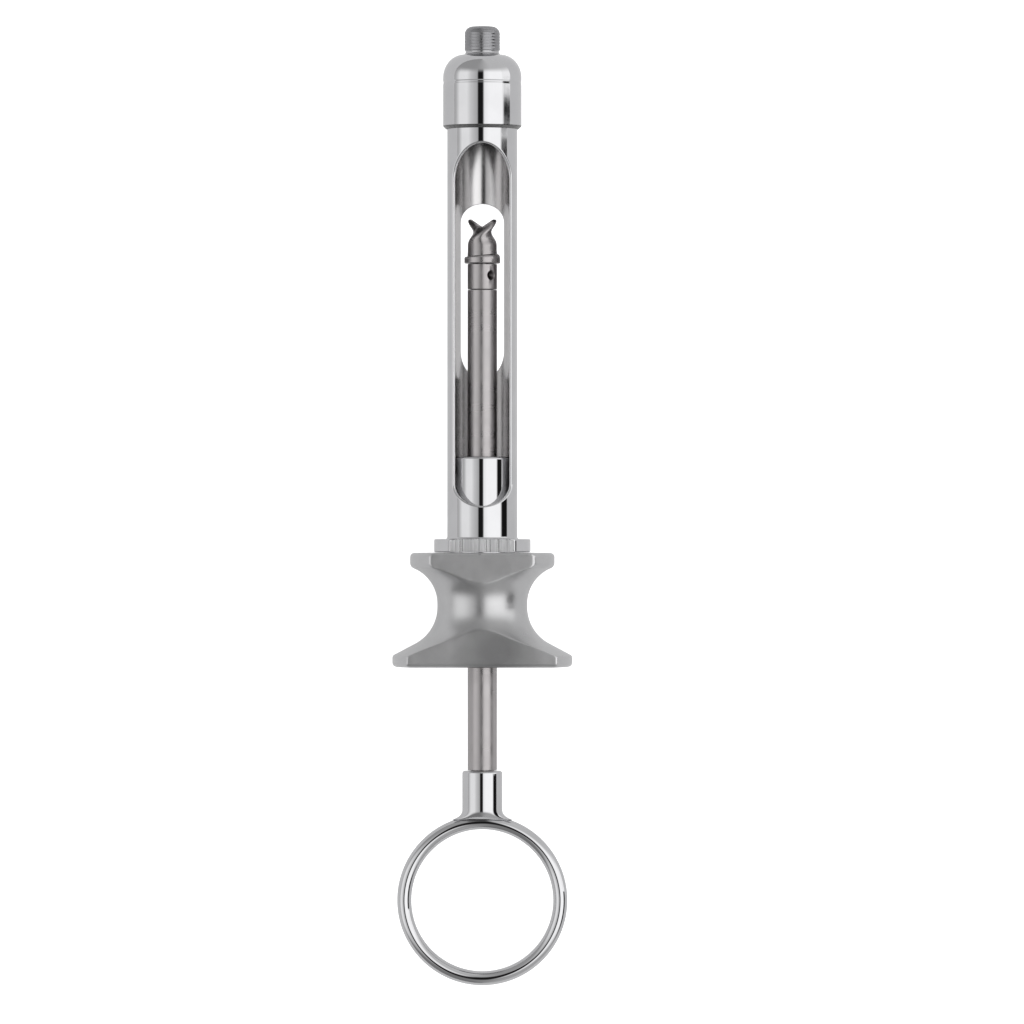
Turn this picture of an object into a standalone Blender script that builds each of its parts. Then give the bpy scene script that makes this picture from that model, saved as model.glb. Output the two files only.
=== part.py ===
"""Aspirating dental syringe, lying on the back flat of its finger grip.

The pieces are modelled upright about the Z axis of an empty, with the needle end up and the
loading window facing -Y. The empty lays them down: the needle end points along +Y and the
window faces up. A station is a height on the upright axis, counted from the lower end of the
loading window.
"""

from math import cos, pi, radians, sin

import bmesh
import bpy
from mathutils import Matrix, Vector

MM = 0.001
SEAM_GAP = 0.1 * MM  # between pieces that are fixed to each other
RUNNING_GAP = 0.05 * MM  # radial clearance where one piece slides or turns in another
CUT_MARGIN = 1.0 * MM  # how far a cutter runs past the wall that it cuts

COARSE = 36  # sides of the small round pieces
FINE = 48  # sides of the large round pieces
SHARP_ANGLE = radians(35)  # an edge that turns further is shaded sharp

# Barrel
BARREL_R = 5.85 * MM
BORE_R = 4.6 * MM
CHAMBER_TOP = 72.5 * MM
CHAMBER_SEAT = 72.3 * MM
FLANGE_R = 8.05 * MM
FLANGE_TOP = -5.5 * MM
FLANGE_BOTTOM = -7.7 * MM
FLANGE_FLAT_OFFSET = 5.95 * MM
FLANGE_CHAMFER = 0.2 * MM
TAIL_R = 5.45 * MM
TAIL_BOTTOM = -11.5 * MM

FRONT_WINDOW_HALF_WIDTH = 4.5 * MM
FRONT_WINDOW_TOP = 60.3 * MM
FRONT_WINDOW_TOP_RISE = 6.2 * MM
FRONT_WINDOW_BOTTOM_RISE = 3.7 * MM
BACK_WINDOW_HALF_WIDTH = 3.6 * MM
BACK_WINDOW_BOTTOM = 21.3 * MM
BACK_WINDOW_TOP = 50.5 * MM
BACK_WINDOW_TOP_RISE = 3.2 * MM
BACK_WINDOW_BOTTOM_RISE = 4.6 * MM

# Head cap and needle hub
CAP_R = 6.55 * MM
CAP_BOTTOM = 62.8 * MM
CAP_EDGE_RADIUS = 0.6 * MM
DOME_TOP = 75.2 * MM
DOME_SHOULDER_R = 3.2 * MM
DOME_HEIGHT = 3.85 * MM
HUB_TOP = 79.9 * MM
HUB_THREAD_R = 2.95 * MM
HUB_EDGE_RADIUS = 1.3 * MM
HUB_NECK_R = 2.75 * MM
HUB_NECK_TOP = 76.1 * MM
HUB_NECK_BOTTOM = 75.6 * MM
HUB_STEM_R = 2.5 * MM
HUB_HOLE_R = 0.75 * MM

# Finger grip
GRIP_TOP = -7.8 * MM
GRIP_BOTTOM = -26.8 * MM
GRIP_FLAT_OFFSET = 8.4 * MM
GRIP_WAIST_R = 7.5 * MM
GRIP_UPPER_RIM_R = 12.05 * MM
GRIP_LOWER_RIM_R = 15.0 * MM
GRIP_UPPER_ARC = (6.4 * MM, -16.3 * MM)  # radius, station of the centre
GRIP_LOWER_ARC = (6.9 * MM, -16.8 * MM)
GRIP_RIM_ROUNDING = 0.7 * MM
SPRING_CHAMBER_R = 5.6 * MM
SPRING_CHAMBER_FLOOR = -24.9 * MM

# Guide sleeve, with the bush and the friction ring that it holds
GUIDE_TOP = 8.2 * MM
GUIDE_R = BORE_R - RUNNING_GAP
GUIDE_FLANGE_R = 5.4 * MM
GUIDE_FLANGE_THICKNESS = 1.5 * MM
GUIDE_MOUTH_R = 3.35 * MM
GUIDE_MOUTH_FLOOR = -6.0 * MM
GUIDE_WEB_BOTTOM = -7.5 * MM
GUIDE_EDGE = 0.2 * MM
SPRING_CUP_R = 3.95 * MM
GUIDE_BUSH_BOTTOM = -5.0 * MM
FRICTION_RING_SECTION_R = 0.34 * MM
FRICTION_RING_STATION = -5.5 * MM

# Return spring and its seat
SPRING_WIRE_R = 0.4 * MM
SPRING_COIL_R = 3.3 * MM
SPRING_TURNS = 8
SPRING_POINTS_A_TURN = 10
WASHER_THICKNESS = 0.6 * MM
REAR_BUSH_R = 3.4 * MM
REAR_BUSH_FLANGE_R = 4.9 * MM
REAR_BUSH_FLANGE_THICKNESS = 0.7 * MM

# Plunger
ROD_R = 2.45 * MM
ROD_TOP = 36.0 * MM
ROD_BOTTOM = -44.0 * MM
ROD_STUD_R = 1.9 * MM
ROD_STUD_LENGTH = 6.0 * MM
ROD_TIP_HOLE_R = 1.4 * MM
ROD_TIP_HOLE_DEPTH = 4.0 * MM
TIP_SOCKET_TOP = 40.3 * MM
TIP_SOCKET_HOLE_R = 1.1 * MM
TIP_SOCKET_HOLE_DEPTH = 3.4 * MM
CROSS_HOLE_R = 0.7 * MM
CROSS_HOLE_STATION = 38.4 * MM
CROSS_HOLE_ANGLE = radians(38)  # from the front towards +X

# Harpoon
HARPOON_COLLAR_R = 2.98 * MM
HARPOON_COLLAR_BOTTOM = 40.4 * MM
HARPOON_COLLAR_TOP = 41.8 * MM
HARPOON_TWIST_START = 42.6 * MM
HARPOON_TIP = 47.75 * MM
HARPOON_BLADE_HALF_WIDTH = 2.42 * MM
HARPOON_BLADE_HALF_THICKNESS = 1.15 * MM
HARPOON_TWIST = radians(-180)
HARPOON_NOTCH_DEPTH = 1.3 * MM
HARPOON_STUD_R = 1.0 * MM
HARPOON_RINGS = 14
HARPOON_SIDES = 24

# Thumb ring and its socket
RING_SOCKET_R = 3.35 * MM
RING_SOCKET_BOTTOM = -52.6 * MM
RING_SOCKET_EDGE = 0.4 * MM
RING_CENTRE = -65.7 * MM
RING_MEAN_R = 13.0 * MM
RING_HALF_WIDTH = 1.2 * MM
RING_HALF_DEPTH = 1.5 * MM
RING_SIDES = 52
RING_SECTION_SIDES = 16

CHROME = ("chrome", (0.76, 0.76, 0.77), 0.08, 1.0)
BLASTED = ("blasted_chrome", (0.55, 0.55, 0.56), 0.42, 1.0)
SATIN = ("satin_steel", (0.52, 0.50, 0.50), 0.32, 1.0)
MATT_NICKEL = ("matt_nickel", (0.46, 0.46, 0.48), 0.4, 1.0)
BRASS = ("brass", (0.78, 0.60, 0.32), 0.3, 1.0)
SPRING_STEEL = ("spring_steel", (0.60, 0.60, 0.61), 0.25, 1.0)
RUBBER = ("black_rubber", (0.03, 0.03, 0.03), 0.7, 0.0)


def clear_scene():
    for obj in list(bpy.data.objects):
        bpy.data.objects.remove(obj)


def new_collection(name):
    collection = bpy.data.collections.new(name)
    bpy.context.scene.collection.children.link(collection)
    return collection


def new_material(node_name, finish):
    """A Principled material of its own for one piece."""
    finish_name, colour, roughness, metallic = finish
    material = bpy.data.materials.new(f"{node_name}_{finish_name}")
    material.use_nodes = True
    shader = material.node_tree.nodes["Principled BSDF"]
    shader.inputs["Base Color"].default_value = (*colour, 1.0)
    shader.inputs["Roughness"].default_value = roughness
    shader.inputs["Metallic"].default_value = metallic
    material.diffuse_color = (*colour, 1.0)
    return material


class Assembly:
    """The syringe: one empty on its axis, a collection of pieces and one of cutters."""

    def __init__(self):
        self.pieces = new_collection("aspirating_dental_syringe")
        self.cutters = new_collection("cutters")
        self.axis = bpy.data.objects.new("syringe_axis", None)
        self.axis.location = (0, 0, GRIP_FLAT_OFFSET)
        self.axis.rotation_euler = (-pi / 2, 0, 0)
        self.pieces.objects.link(self.axis)

    def add_piece(self, name, mesh, finish, station=0.0):
        """A piece whose origin is on the axis, at its station."""
        obj = bpy.data.objects.new(name, mesh)
        obj.parent = self.axis
        obj.location.z = station
        obj.data.materials.append(new_material(name, finish))
        self.pieces.objects.link(obj)
        return obj

    def add_cutter(self, name, mesh, station=0.0):
        obj = bpy.data.objects.new(name, mesh)
        obj.parent = self.axis
        obj.location.z = station
        obj.hide_render = True
        obj.display_type = "WIRE"
        self.cutters.objects.link(obj)
        return obj


def cut(obj, cutter):
    boolean = obj.modifiers.new(f"cut_{cutter.name}", "BOOLEAN")
    boolean.operation = "DIFFERENCE"
    boolean.object = cutter


def spin(obj, steps):
    """Turn the profile of an object a full circle about its Z axis."""
    screw = obj.modifiers.new("turn", "SCREW")
    screw.axis = "Z"
    screw.steps = steps
    screw.render_steps = steps
    screw.use_merge_vertices = True
    screw.merge_threshold = 1e-6


def profile_mesh(name, points, closed):
    """A chain of edges through (radius, station) points, in the XZ plane."""
    mesh = bpy.data.meshes.new(name)
    last = len(points) - 1
    edges = [(i, i + 1) for i in range(last)]
    if closed:
        edges.append((last, 0))
    mesh.from_pydata([(r, 0.0, z) for r, z in points], edges, [])
    return mesh


def turned(assembly, name, outer, inner, finish, steps=COARSE):
    """A turned piece. The outer profile runs top to bottom and the inner one bottom to top."""
    mesh = profile_mesh(name, outer + inner, closed=bool(inner))
    obj = assembly.add_piece(name, mesh, finish)
    spin(obj, steps)
    return obj


def arc(centre, radii, start, end, steps):
    """Points of an elliptic arc in a profile. Angles in degrees: 0 is outward, 90 is up."""
    points = []
    for i in range(steps + 1):
        angle = radians(start + (end - start) * i / steps)
        points.append((centre[0] + radii[0] * cos(angle), centre[1] + radii[1] * sin(angle)))
    return points


def block_mesh(name, low, high):
    mesh = bpy.data.meshes.new(name)
    bm = bmesh.new()
    size = Vector(high) - Vector(low)
    middle = (Vector(high) + Vector(low)) / 2
    bmesh.ops.create_cube(bm, size=1.0, matrix=Matrix.Translation(middle) @ Matrix.Diagonal((*size, 1.0)))
    bm.to_mesh(mesh)
    bm.free()
    return mesh


def cylinder_mesh(name, radius, length, steps, matrix):
    mesh = bpy.data.meshes.new(name)
    bm = bmesh.new()
    bmesh.ops.create_cone(
        bm, cap_ends=True, segments=steps, radius1=radius, radius2=radius, depth=length, matrix=matrix
    )
    bm.to_mesh(mesh)
    bm.free()
    return mesh


def window_mesh(name, half_width, bottom, top, bottom_rise, top_rise, near, far):
    """A slot outline with elliptic ends, in the XZ plane, drawn out along Y from near to far."""
    end_steps = 14
    outline = []
    for i in range(end_steps + 1):
        angle = pi * i / end_steps
        outline.append((half_width * cos(angle), top - top_rise + top_rise * sin(angle)))
    for i in range(end_steps + 1):
        angle = pi + pi * i / end_steps
        outline.append((half_width * cos(angle), bottom + bottom_rise + bottom_rise * sin(angle)))
    bm = bmesh.new()
    face = bm.faces.new([bm.verts.new((x, near, z)) for x, z in outline])
    drawn = bmesh.ops.extrude_face_region(bm, geom=[face])
    moved = [v for v in drawn["geom"] if isinstance(v, bmesh.types.BMVert)]
    bmesh.ops.translate(bm, verts=moved, vec=(0, far - near, 0))
    bmesh.ops.recalc_face_normals(bm, faces=bm.faces)
    mesh = bpy.data.meshes.new(name)
    bm.to_mesh(mesh)
    bm.free()
    return mesh


def flats_cut(assembly, obj, name, offset, reach, bottom, top):
    """Mill the front and the back of a piece flat, at an offset from the axis."""
    for side, label in ((-1, "front"), (1, "back")):
        near, far = sorted((side * offset, side * (reach + CUT_MARGIN)))
        low = (-reach - CUT_MARGIN, near, bottom)
        high = (reach + CUT_MARGIN, far, top)
        cutter = assembly.add_cutter(f"{name}_{label}_flat", block_mesh(f"{name}_{label}_flat", low, high))
        cut(obj, cutter)


def make_needle_hub(assembly):
    shoulder = DOME_TOP + SEAM_GAP
    edge_centre = (HUB_THREAD_R - HUB_EDGE_RADIUS, HUB_TOP - HUB_EDGE_RADIUS)
    outer = arc(edge_centre, (HUB_EDGE_RADIUS, HUB_EDGE_RADIUS), 90, 0, 5)
    outer += [
        (HUB_THREAD_R, HUB_NECK_TOP),
        (HUB_NECK_R, HUB_NECK_TOP),
        (HUB_NECK_R, HUB_NECK_BOTTOM),
        (HUB_THREAD_R, shoulder),
        (HUB_STEM_R, shoulder),
        (HUB_STEM_R, CHAMBER_TOP + SEAM_GAP),
    ]
    inner = [(HUB_HOLE_R, CHAMBER_TOP + SEAM_GAP), (HUB_HOLE_R, HUB_TOP)]
    turned(assembly, "needle_hub", outer, inner, MATT_NICKEL)


def make_head_cap(assembly):
    """A domed cap. The cartridge seats on a low spigot that centres the cap in the bore."""
    dome_centre = (DOME_SHOULDER_R, DOME_TOP - DOME_HEIGHT)
    outer = arc(dome_centre, (CAP_R - DOME_SHOULDER_R, DOME_HEIGHT), 90, 0, 8)
    edge_centre = (CAP_R - CAP_EDGE_RADIUS, CAP_BOTTOM + CAP_EDGE_RADIUS)
    outer += arc(edge_centre, (CAP_EDGE_RADIUS, CAP_EDGE_RADIUS), 0, -90, 3)
    seat_r = BARREL_R + SEAM_GAP
    stem_hole_r = HUB_STEM_R + SEAM_GAP
    spigot_r = BORE_R - SEAM_GAP
    inner = [
        (seat_r, CAP_BOTTOM),
        (seat_r, CHAMBER_TOP),
        (spigot_r, CHAMBER_TOP),
        (spigot_r, CHAMBER_SEAT),
        (stem_hole_r, CHAMBER_SEAT),
        (stem_hole_r, DOME_TOP),
    ]
    turned(assembly, "head_cap", outer, inner, CHROME, FINE)


def make_barrel(assembly):
    barrel_top = CHAMBER_TOP - SEAM_GAP
    fillet = 2 * FLANGE_CHAMFER
    outer = [
        (BARREL_R, barrel_top),
        (BARREL_R, FLANGE_TOP + fillet),
        (BARREL_R + fillet, FLANGE_TOP),
        (FLANGE_R - FLANGE_CHAMFER, FLANGE_TOP),
        (FLANGE_R, FLANGE_TOP - FLANGE_CHAMFER),
        (FLANGE_R, FLANGE_BOTTOM + FLANGE_CHAMFER),
        (FLANGE_R - FLANGE_CHAMFER, FLANGE_BOTTOM),
        (TAIL_R, FLANGE_BOTTOM),
        (TAIL_R, TAIL_BOTTOM),
    ]
    inner = [(BORE_R, TAIL_BOTTOM), (BORE_R, barrel_top)]
    barrel = turned(assembly, "barrel", outer, inner, CHROME, FINE)
    flats_top = FLANGE_TOP + fillet
    flats_cut(assembly, barrel, "flange", FLANGE_FLAT_OFFSET, FLANGE_R, FLANGE_BOTTOM - SEAM_GAP, flats_top)
    front = window_mesh(
        "front_window",
        FRONT_WINDOW_HALF_WIDTH,
        0.0,
        FRONT_WINDOW_TOP,
        FRONT_WINDOW_BOTTOM_RISE,
        FRONT_WINDOW_TOP_RISE,
        near=-BARREL_R - CUT_MARGIN,
        far=0.0,
    )
    cut(barrel, assembly.add_cutter("front_window", front))
    back = window_mesh(
        "back_window",
        BACK_WINDOW_HALF_WIDTH,
        BACK_WINDOW_BOTTOM,
        BACK_WINDOW_TOP,
        BACK_WINDOW_BOTTOM_RISE,
        BACK_WINDOW_TOP_RISE,
        near=0.0,
        far=BARREL_R + CUT_MARGIN,
    )
    cut(barrel, assembly.add_cutter("back_window", back))


def grip_waist_arc(radius, station, start, end):
    centre = (GRIP_WAIST_R + radius, station)
    return arc(centre, (radius, radius), start, end, 7)


def make_finger_grip(assembly):
    rounding = GRIP_RIM_ROUNDING
    upper_centre = (GRIP_UPPER_RIM_R - rounding, GRIP_TOP - rounding)
    lower_centre = (GRIP_LOWER_RIM_R - rounding, GRIP_BOTTOM + rounding)
    outer = arc(upper_centre, (rounding, rounding), 90, 0, 3)
    outer.append((GRIP_UPPER_RIM_R, GRIP_TOP - 1.7 * MM))
    outer += grip_waist_arc(*GRIP_UPPER_ARC, 110, 180)
    outer += grip_waist_arc(*GRIP_LOWER_ARC, 180, 250)
    outer.append((GRIP_LOWER_RIM_R - rounding / 2, GRIP_BOTTOM + 2.0 * MM))
    outer.append((GRIP_LOWER_RIM_R, GRIP_BOTTOM + 1.5 * MM))
    outer += arc(lower_centre, (rounding, rounding), 0, -90, 3)
    bush_hole_r = REAR_BUSH_R + SEAM_GAP
    inner = [
        (bush_hole_r, GRIP_BOTTOM),
        (bush_hole_r, SPRING_CHAMBER_FLOOR),
        (SPRING_CHAMBER_R, SPRING_CHAMBER_FLOOR),
        (SPRING_CHAMBER_R, GRIP_TOP),
    ]
    grip = turned(assembly, "finger_grip", outer, inner, BLASTED, FINE)
    flats_cut(
        assembly,
        grip,
        "grip",
        GRIP_FLAT_OFFSET,
        GRIP_LOWER_RIM_R,
        GRIP_BOTTOM - CUT_MARGIN,
        GRIP_TOP + CUT_MARGIN,
    )


def rear_bush_flange_top():
    return SPRING_CHAMBER_FLOOR + SEAM_GAP + REAR_BUSH_FLANGE_THICKNESS


def washer_top():
    return rear_bush_flange_top() + SEAM_GAP + WASHER_THICKNESS


def make_rear_bush(assembly):
    flange_bottom = SPRING_CHAMBER_FLOOR + SEAM_GAP
    outer = [
        (REAR_BUSH_FLANGE_R, rear_bush_flange_top()),
        (REAR_BUSH_FLANGE_R, flange_bottom),
        (REAR_BUSH_R, flange_bottom),
        (REAR_BUSH_R, GRIP_BOTTOM),
    ]
    bore_r = ROD_R + RUNNING_GAP
    inner = [(bore_r, GRIP_BOTTOM), (bore_r, rear_bush_flange_top())]
    turned(assembly, "rear_bush", outer, inner, BRASS)


def make_spring_washer(assembly):
    bottom = rear_bush_flange_top() + SEAM_GAP
    outer_r = SPRING_CHAMBER_R - 4 * RUNNING_GAP
    inner_r = ROD_R + 4 * RUNNING_GAP
    outer = [(outer_r, washer_top()), (outer_r, bottom)]
    inner = [(inner_r, bottom), (inner_r, washer_top())]
    turned(assembly, "spring_washer", outer, inner, SPRING_STEEL)


def make_return_spring(assembly):
    """A coil from the washer to the web of the guide sleeve, as a tube along a helix."""
    bottom = washer_top() + SPRING_WIRE_R + RUNNING_GAP
    top = GUIDE_WEB_BOTTOM - SPRING_WIRE_R - RUNNING_GAP
    curve = bpy.data.curves.new("return_spring", "CURVE")
    curve.dimensions = "3D"
    curve.bevel_depth = SPRING_WIRE_R
    curve.bevel_resolution = 2
    curve.use_fill_caps = True
    spline = curve.splines.new("POLY")
    count = SPRING_TURNS * SPRING_POINTS_A_TURN + 1
    spline.points.add(count - 1)
    for i, point in enumerate(spline.points):
        turn = 2 * pi * i / SPRING_POINTS_A_TURN
        station = bottom + (top - bottom) * i / (count - 1)
        point.co = (SPRING_COIL_R * cos(turn), SPRING_COIL_R * sin(turn), station, 1.0)
    wire = bpy.data.objects.new("spring_wire", curve)
    assembly.cutters.objects.link(wire)
    bpy.context.view_layer.update()
    evaluated = wire.evaluated_get(bpy.context.evaluated_depsgraph_get())
    mesh = bpy.data.meshes.new_from_object(evaluated)
    bpy.data.objects.remove(wire)
    bm = bmesh.new()
    bm.from_mesh(mesh)
    bmesh.ops.remove_doubles(bm, verts=bm.verts, dist=1e-6)
    bm.to_mesh(mesh)
    bm.free()
    mesh.materials.clear()
    assembly.add_piece("return_spring", mesh, SPRING_STEEL)


def make_guide_sleeve(assembly):
    flange_top = TAIL_BOTTOM - SEAM_GAP
    flange_bottom = flange_top - GUIDE_FLANGE_THICKNESS
    outer = [
        (GUIDE_R - GUIDE_EDGE, GUIDE_TOP),
        (GUIDE_R, GUIDE_TOP - GUIDE_EDGE),
        (GUIDE_R, flange_top),
        (GUIDE_FLANGE_R, flange_top),
        (GUIDE_FLANGE_R, flange_bottom),
    ]
    web_hole_r = ROD_R + 2 * RUNNING_GAP
    inner = [
        (SPRING_CUP_R, flange_bottom),
        (SPRING_CUP_R, GUIDE_WEB_BOTTOM),
        (web_hole_r, GUIDE_WEB_BOTTOM),
        (web_hole_r, GUIDE_MOUTH_FLOOR),
        (GUIDE_MOUTH_R, GUIDE_MOUTH_FLOOR),
        (GUIDE_MOUTH_R, GUIDE_TOP - GUIDE_EDGE),
        (GUIDE_MOUTH_R + GUIDE_EDGE, GUIDE_TOP),
    ]
    turned(assembly, "guide_sleeve", outer, inner, CHROME)


def make_guide_bush(assembly):
    outer_r = GUIDE_MOUTH_R - RUNNING_GAP
    inner_r = ROD_R + RUNNING_GAP
    outer = [(outer_r, 0.0), (outer_r, GUIDE_BUSH_BOTTOM)]
    inner = [(inner_r, GUIDE_BUSH_BOTTOM), (inner_r, 0.0)]
    turned(assembly, "guide_bush", outer, inner, BRASS)


def make_friction_ring(assembly):
    centre_r = (ROD_R + GUIDE_MOUTH_R) / 2
    section = (FRICTION_RING_SECTION_R, FRICTION_RING_SECTION_R)
    outer = arc((centre_r, 0.0), section, 90, -90, 5)
    inner = arc((centre_r, 0.0), section, -90, -270, 5)[1:-1]
    mesh = profile_mesh("friction_ring", outer + inner, closed=True)
    ring = assembly.add_piece("friction_ring", mesh, RUBBER, FRICTION_RING_STATION)
    spin(ring, COARSE)


def make_plunger_rod(assembly):
    outer = [
        (ROD_TIP_HOLE_R, ROD_TOP),
        (ROD_R, ROD_TOP),
        (ROD_R, ROD_BOTTOM),
        (ROD_STUD_R, ROD_BOTTOM),
        (ROD_STUD_R, ROD_BOTTOM - ROD_STUD_LENGTH),
        (0.0, ROD_BOTTOM - ROD_STUD_LENGTH),
    ]
    hole = [
        (0.0, ROD_TOP - ROD_TIP_HOLE_DEPTH),
        (ROD_TIP_HOLE_R, ROD_TOP - ROD_TIP_HOLE_DEPTH),
    ]
    mesh = profile_mesh("plunger_rod", hole + outer, closed=False)
    rod = assembly.add_piece("plunger_rod", mesh, SATIN)
    spin(rod, COARSE)


def make_harpoon_socket(assembly):
    bottom = ROD_TOP + SEAM_GAP
    stud_r = ROD_TIP_HOLE_R - SEAM_GAP
    stud_bottom = ROD_TOP - ROD_TIP_HOLE_DEPTH + SEAM_GAP
    hole_floor = TIP_SOCKET_TOP - TIP_SOCKET_HOLE_DEPTH
    profile = [
        (0.0, hole_floor),
        (TIP_SOCKET_HOLE_R, hole_floor),
        (TIP_SOCKET_HOLE_R, TIP_SOCKET_TOP),
        (ROD_R, TIP_SOCKET_TOP),
        (ROD_R, bottom),
        (stud_r, bottom),
        (stud_r, stud_bottom),
        (0.0, stud_bottom),
    ]
    mesh = profile_mesh("harpoon_socket", profile, closed=False)
    socket = assembly.add_piece("harpoon_socket", mesh, SATIN)
    spin(socket, COARSE)
    length = 2 * (ROD_R + CUT_MARGIN)
    across = Matrix.Rotation(CROSS_HOLE_ANGLE, 4, "Z") @ Matrix.Rotation(pi / 2, 4, "X")
    drill = cylinder_mesh("cross_hole", CROSS_HOLE_R, length, 24, across)
    cut(socket, assembly.add_cutter("cross_hole", drill, CROSS_HOLE_STATION))


def harpoon_section(station):
    """Half width, half thickness and twist of the harpoon's section at a station."""
    length = HARPOON_TIP - HARPOON_TWIST_START
    share = max(0.0, (station - HARPOON_TWIST_START) / length)
    flatten = sin(min(1.0, 2 * share) * pi / 2)
    thickness = HARPOON_BLADE_HALF_WIDTH
    thickness += (HARPOON_BLADE_HALF_THICKNESS - HARPOON_BLADE_HALF_WIDTH) * flatten
    return HARPOON_BLADE_HALF_WIDTH, thickness, HARPOON_TWIST * (1 - share)


def harpoon_ring(bm, half_width, half_thickness, twist, station):
    ring = []
    for i in range(HARPOON_SIDES):
        angle = 2 * pi * i / HARPOON_SIDES - twist
        x = half_width * cos(angle)
        y = half_thickness * sin(angle)
        ring.append(
            bm.verts.new((x * cos(twist) - y * sin(twist), x * sin(twist) + y * cos(twist), station))
        )
    return ring


def harpoon_mesh():
    """A stud, a collar and a flattened, twisted blade, lofted through rings."""
    stud_bottom = HARPOON_COLLAR_BOTTOM - TIP_SOCKET_HOLE_DEPTH + 2 * SEAM_GAP
    rings = [
        (HARPOON_STUD_R, HARPOON_STUD_R, 0.0, stud_bottom),
        (HARPOON_STUD_R, HARPOON_STUD_R, 0.0, HARPOON_COLLAR_BOTTOM),
        (HARPOON_COLLAR_R, HARPOON_COLLAR_R, 0.0, HARPOON_COLLAR_BOTTOM),
        (HARPOON_COLLAR_R, HARPOON_COLLAR_R, 0.0, HARPOON_COLLAR_TOP - 2 * SEAM_GAP),
        (HARPOON_BLADE_HALF_WIDTH, HARPOON_BLADE_HALF_WIDTH, 0.0, HARPOON_COLLAR_TOP),
    ]
    step = (HARPOON_TIP - HARPOON_TWIST_START) / HARPOON_RINGS
    for i in range(HARPOON_RINGS + 1):
        station = HARPOON_TWIST_START + i * step
        half_width, half_thickness, twist = harpoon_section(station)
        rings.append((half_width, half_thickness, twist, station))
    bm = bmesh.new()
    made = [harpoon_ring(bm, *ring) for ring in rings]
    for low, high in zip(made, made[1:]):
        for i in range(HARPOON_SIDES):
            j = (i + 1) % HARPOON_SIDES
            bm.faces.new((low[i], low[j], high[j], high[i]))
    bm.faces.new(list(reversed(made[0])))
    bm.faces.new(made[-1])
    bmesh.ops.triangulate(bm, faces=bm.faces)
    bmesh.ops.recalc_face_normals(bm, faces=bm.faces)
    mesh = bpy.data.meshes.new("harpoon")
    bm.to_mesh(mesh)
    bm.free()
    return mesh


def make_harpoon(assembly):
    """The blade's end is notched to a V along its thickness, which leaves two sharp points."""
    harpoon = assembly.add_piece("harpoon", harpoon_mesh(), SATIN)
    reach = 2 * HARPOON_BLADE_HALF_WIDTH
    slope = HARPOON_NOTCH_DEPTH / HARPOON_BLADE_HALF_WIDTH
    bottom = HARPOON_TIP - HARPOON_NOTCH_DEPTH
    bm = bmesh.new()
    corners = [(0.0, bottom), (reach, bottom + slope * reach), (-reach, bottom + slope * reach)]
    face = bm.faces.new([bm.verts.new((x, -reach, z)) for x, z in corners])
    drawn = bmesh.ops.extrude_face_region(bm, geom=[face])
    moved = [v for v in drawn["geom"] if isinstance(v, bmesh.types.BMVert)]
    bmesh.ops.translate(bm, verts=moved, vec=(0, 2 * reach, 0))
    bmesh.ops.recalc_face_normals(bm, faces=bm.faces)
    mesh = bpy.data.meshes.new("harpoon_notch")
    bm.to_mesh(mesh)
    bm.free()
    cut(harpoon, assembly.add_cutter("harpoon_notch", mesh))


def thumb_ring_profile(growth):
    section = (RING_HALF_WIDTH + growth, RING_HALF_DEPTH + growth)
    outer = arc((RING_MEAN_R, 0.0), section, 90, -90, RING_SECTION_SIDES // 2)
    inner = arc((RING_MEAN_R, 0.0), section, -90, -270, RING_SECTION_SIDES // 2)[1:-1]
    return outer + inner


def face_front(obj):
    """Turn a piece that was modelled about Z so that it faces the front."""
    obj.rotation_euler = (pi / 2, 0, 0)


def make_thumb_ring(assembly):
    mesh = profile_mesh("thumb_ring", thumb_ring_profile(0.0), closed=True)
    ring = assembly.add_piece("thumb_ring", mesh, CHROME, RING_CENTRE)
    face_front(ring)
    spin(ring, RING_SIDES)


def make_ring_socket(assembly):
    """A ferrule whose foot is saddled to sit on the ring."""
    hole_r = ROD_STUD_R + SEAM_GAP
    top = ROD_BOTTOM - SEAM_GAP
    hole_floor = ROD_BOTTOM - ROD_STUD_LENGTH - SEAM_GAP
    profile = [
        (0.0, hole_floor),
        (hole_r, hole_floor),
        (hole_r, top),
        (RING_SOCKET_R - RING_SOCKET_EDGE, top),
        (RING_SOCKET_R, top - RING_SOCKET_EDGE),
        (RING_SOCKET_R, RING_SOCKET_BOTTOM),
        (0.0, RING_SOCKET_BOTTOM),
    ]
    mesh = profile_mesh("ring_socket", profile, closed=False)
    socket = assembly.add_piece("ring_socket", mesh, CHROME)
    spin(socket, COARSE)
    saddle = profile_mesh("ring_saddle", thumb_ring_profile(SEAM_GAP), closed=True)
    cutter = assembly.add_cutter("ring_saddle", saddle, RING_CENTRE)
    face_front(cutter)
    spin(cutter, RING_SIDES)
    cut(socket, cutter)


def settle_pieces(assembly):
    """Apply each piece's modifiers and shade its round faces smooth, with its edges sharp."""
    bpy.context.view_layer.update()
    depsgraph = bpy.context.evaluated_depsgraph_get()
    for obj in assembly.pieces.objects:
        if obj.type != "MESH":
            continue
        mesh = bpy.data.meshes.new_from_object(obj.evaluated_get(depsgraph))
        mesh.name = obj.name
        mesh.shade_smooth()
        mesh.set_sharp_from_angle(angle=SHARP_ANGLE)
        obj.modifiers.clear()
        obj.data = mesh


def main():
    clear_scene()
    assembly = Assembly()
    make_needle_hub(assembly)
    make_head_cap(assembly)
    make_barrel(assembly)
    make_finger_grip(assembly)
    make_rear_bush(assembly)
    make_spring_washer(assembly)
    make_return_spring(assembly)
    make_guide_sleeve(assembly)
    make_guide_bush(assembly)
    make_friction_ring(assembly)
    make_plunger_rod(assembly)
    make_harpoon_socket(assembly)
    make_harpoon(assembly)
    make_ring_socket(assembly)
    make_thumb_ring(assembly)
    settle_pieces(assembly)


main()
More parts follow.
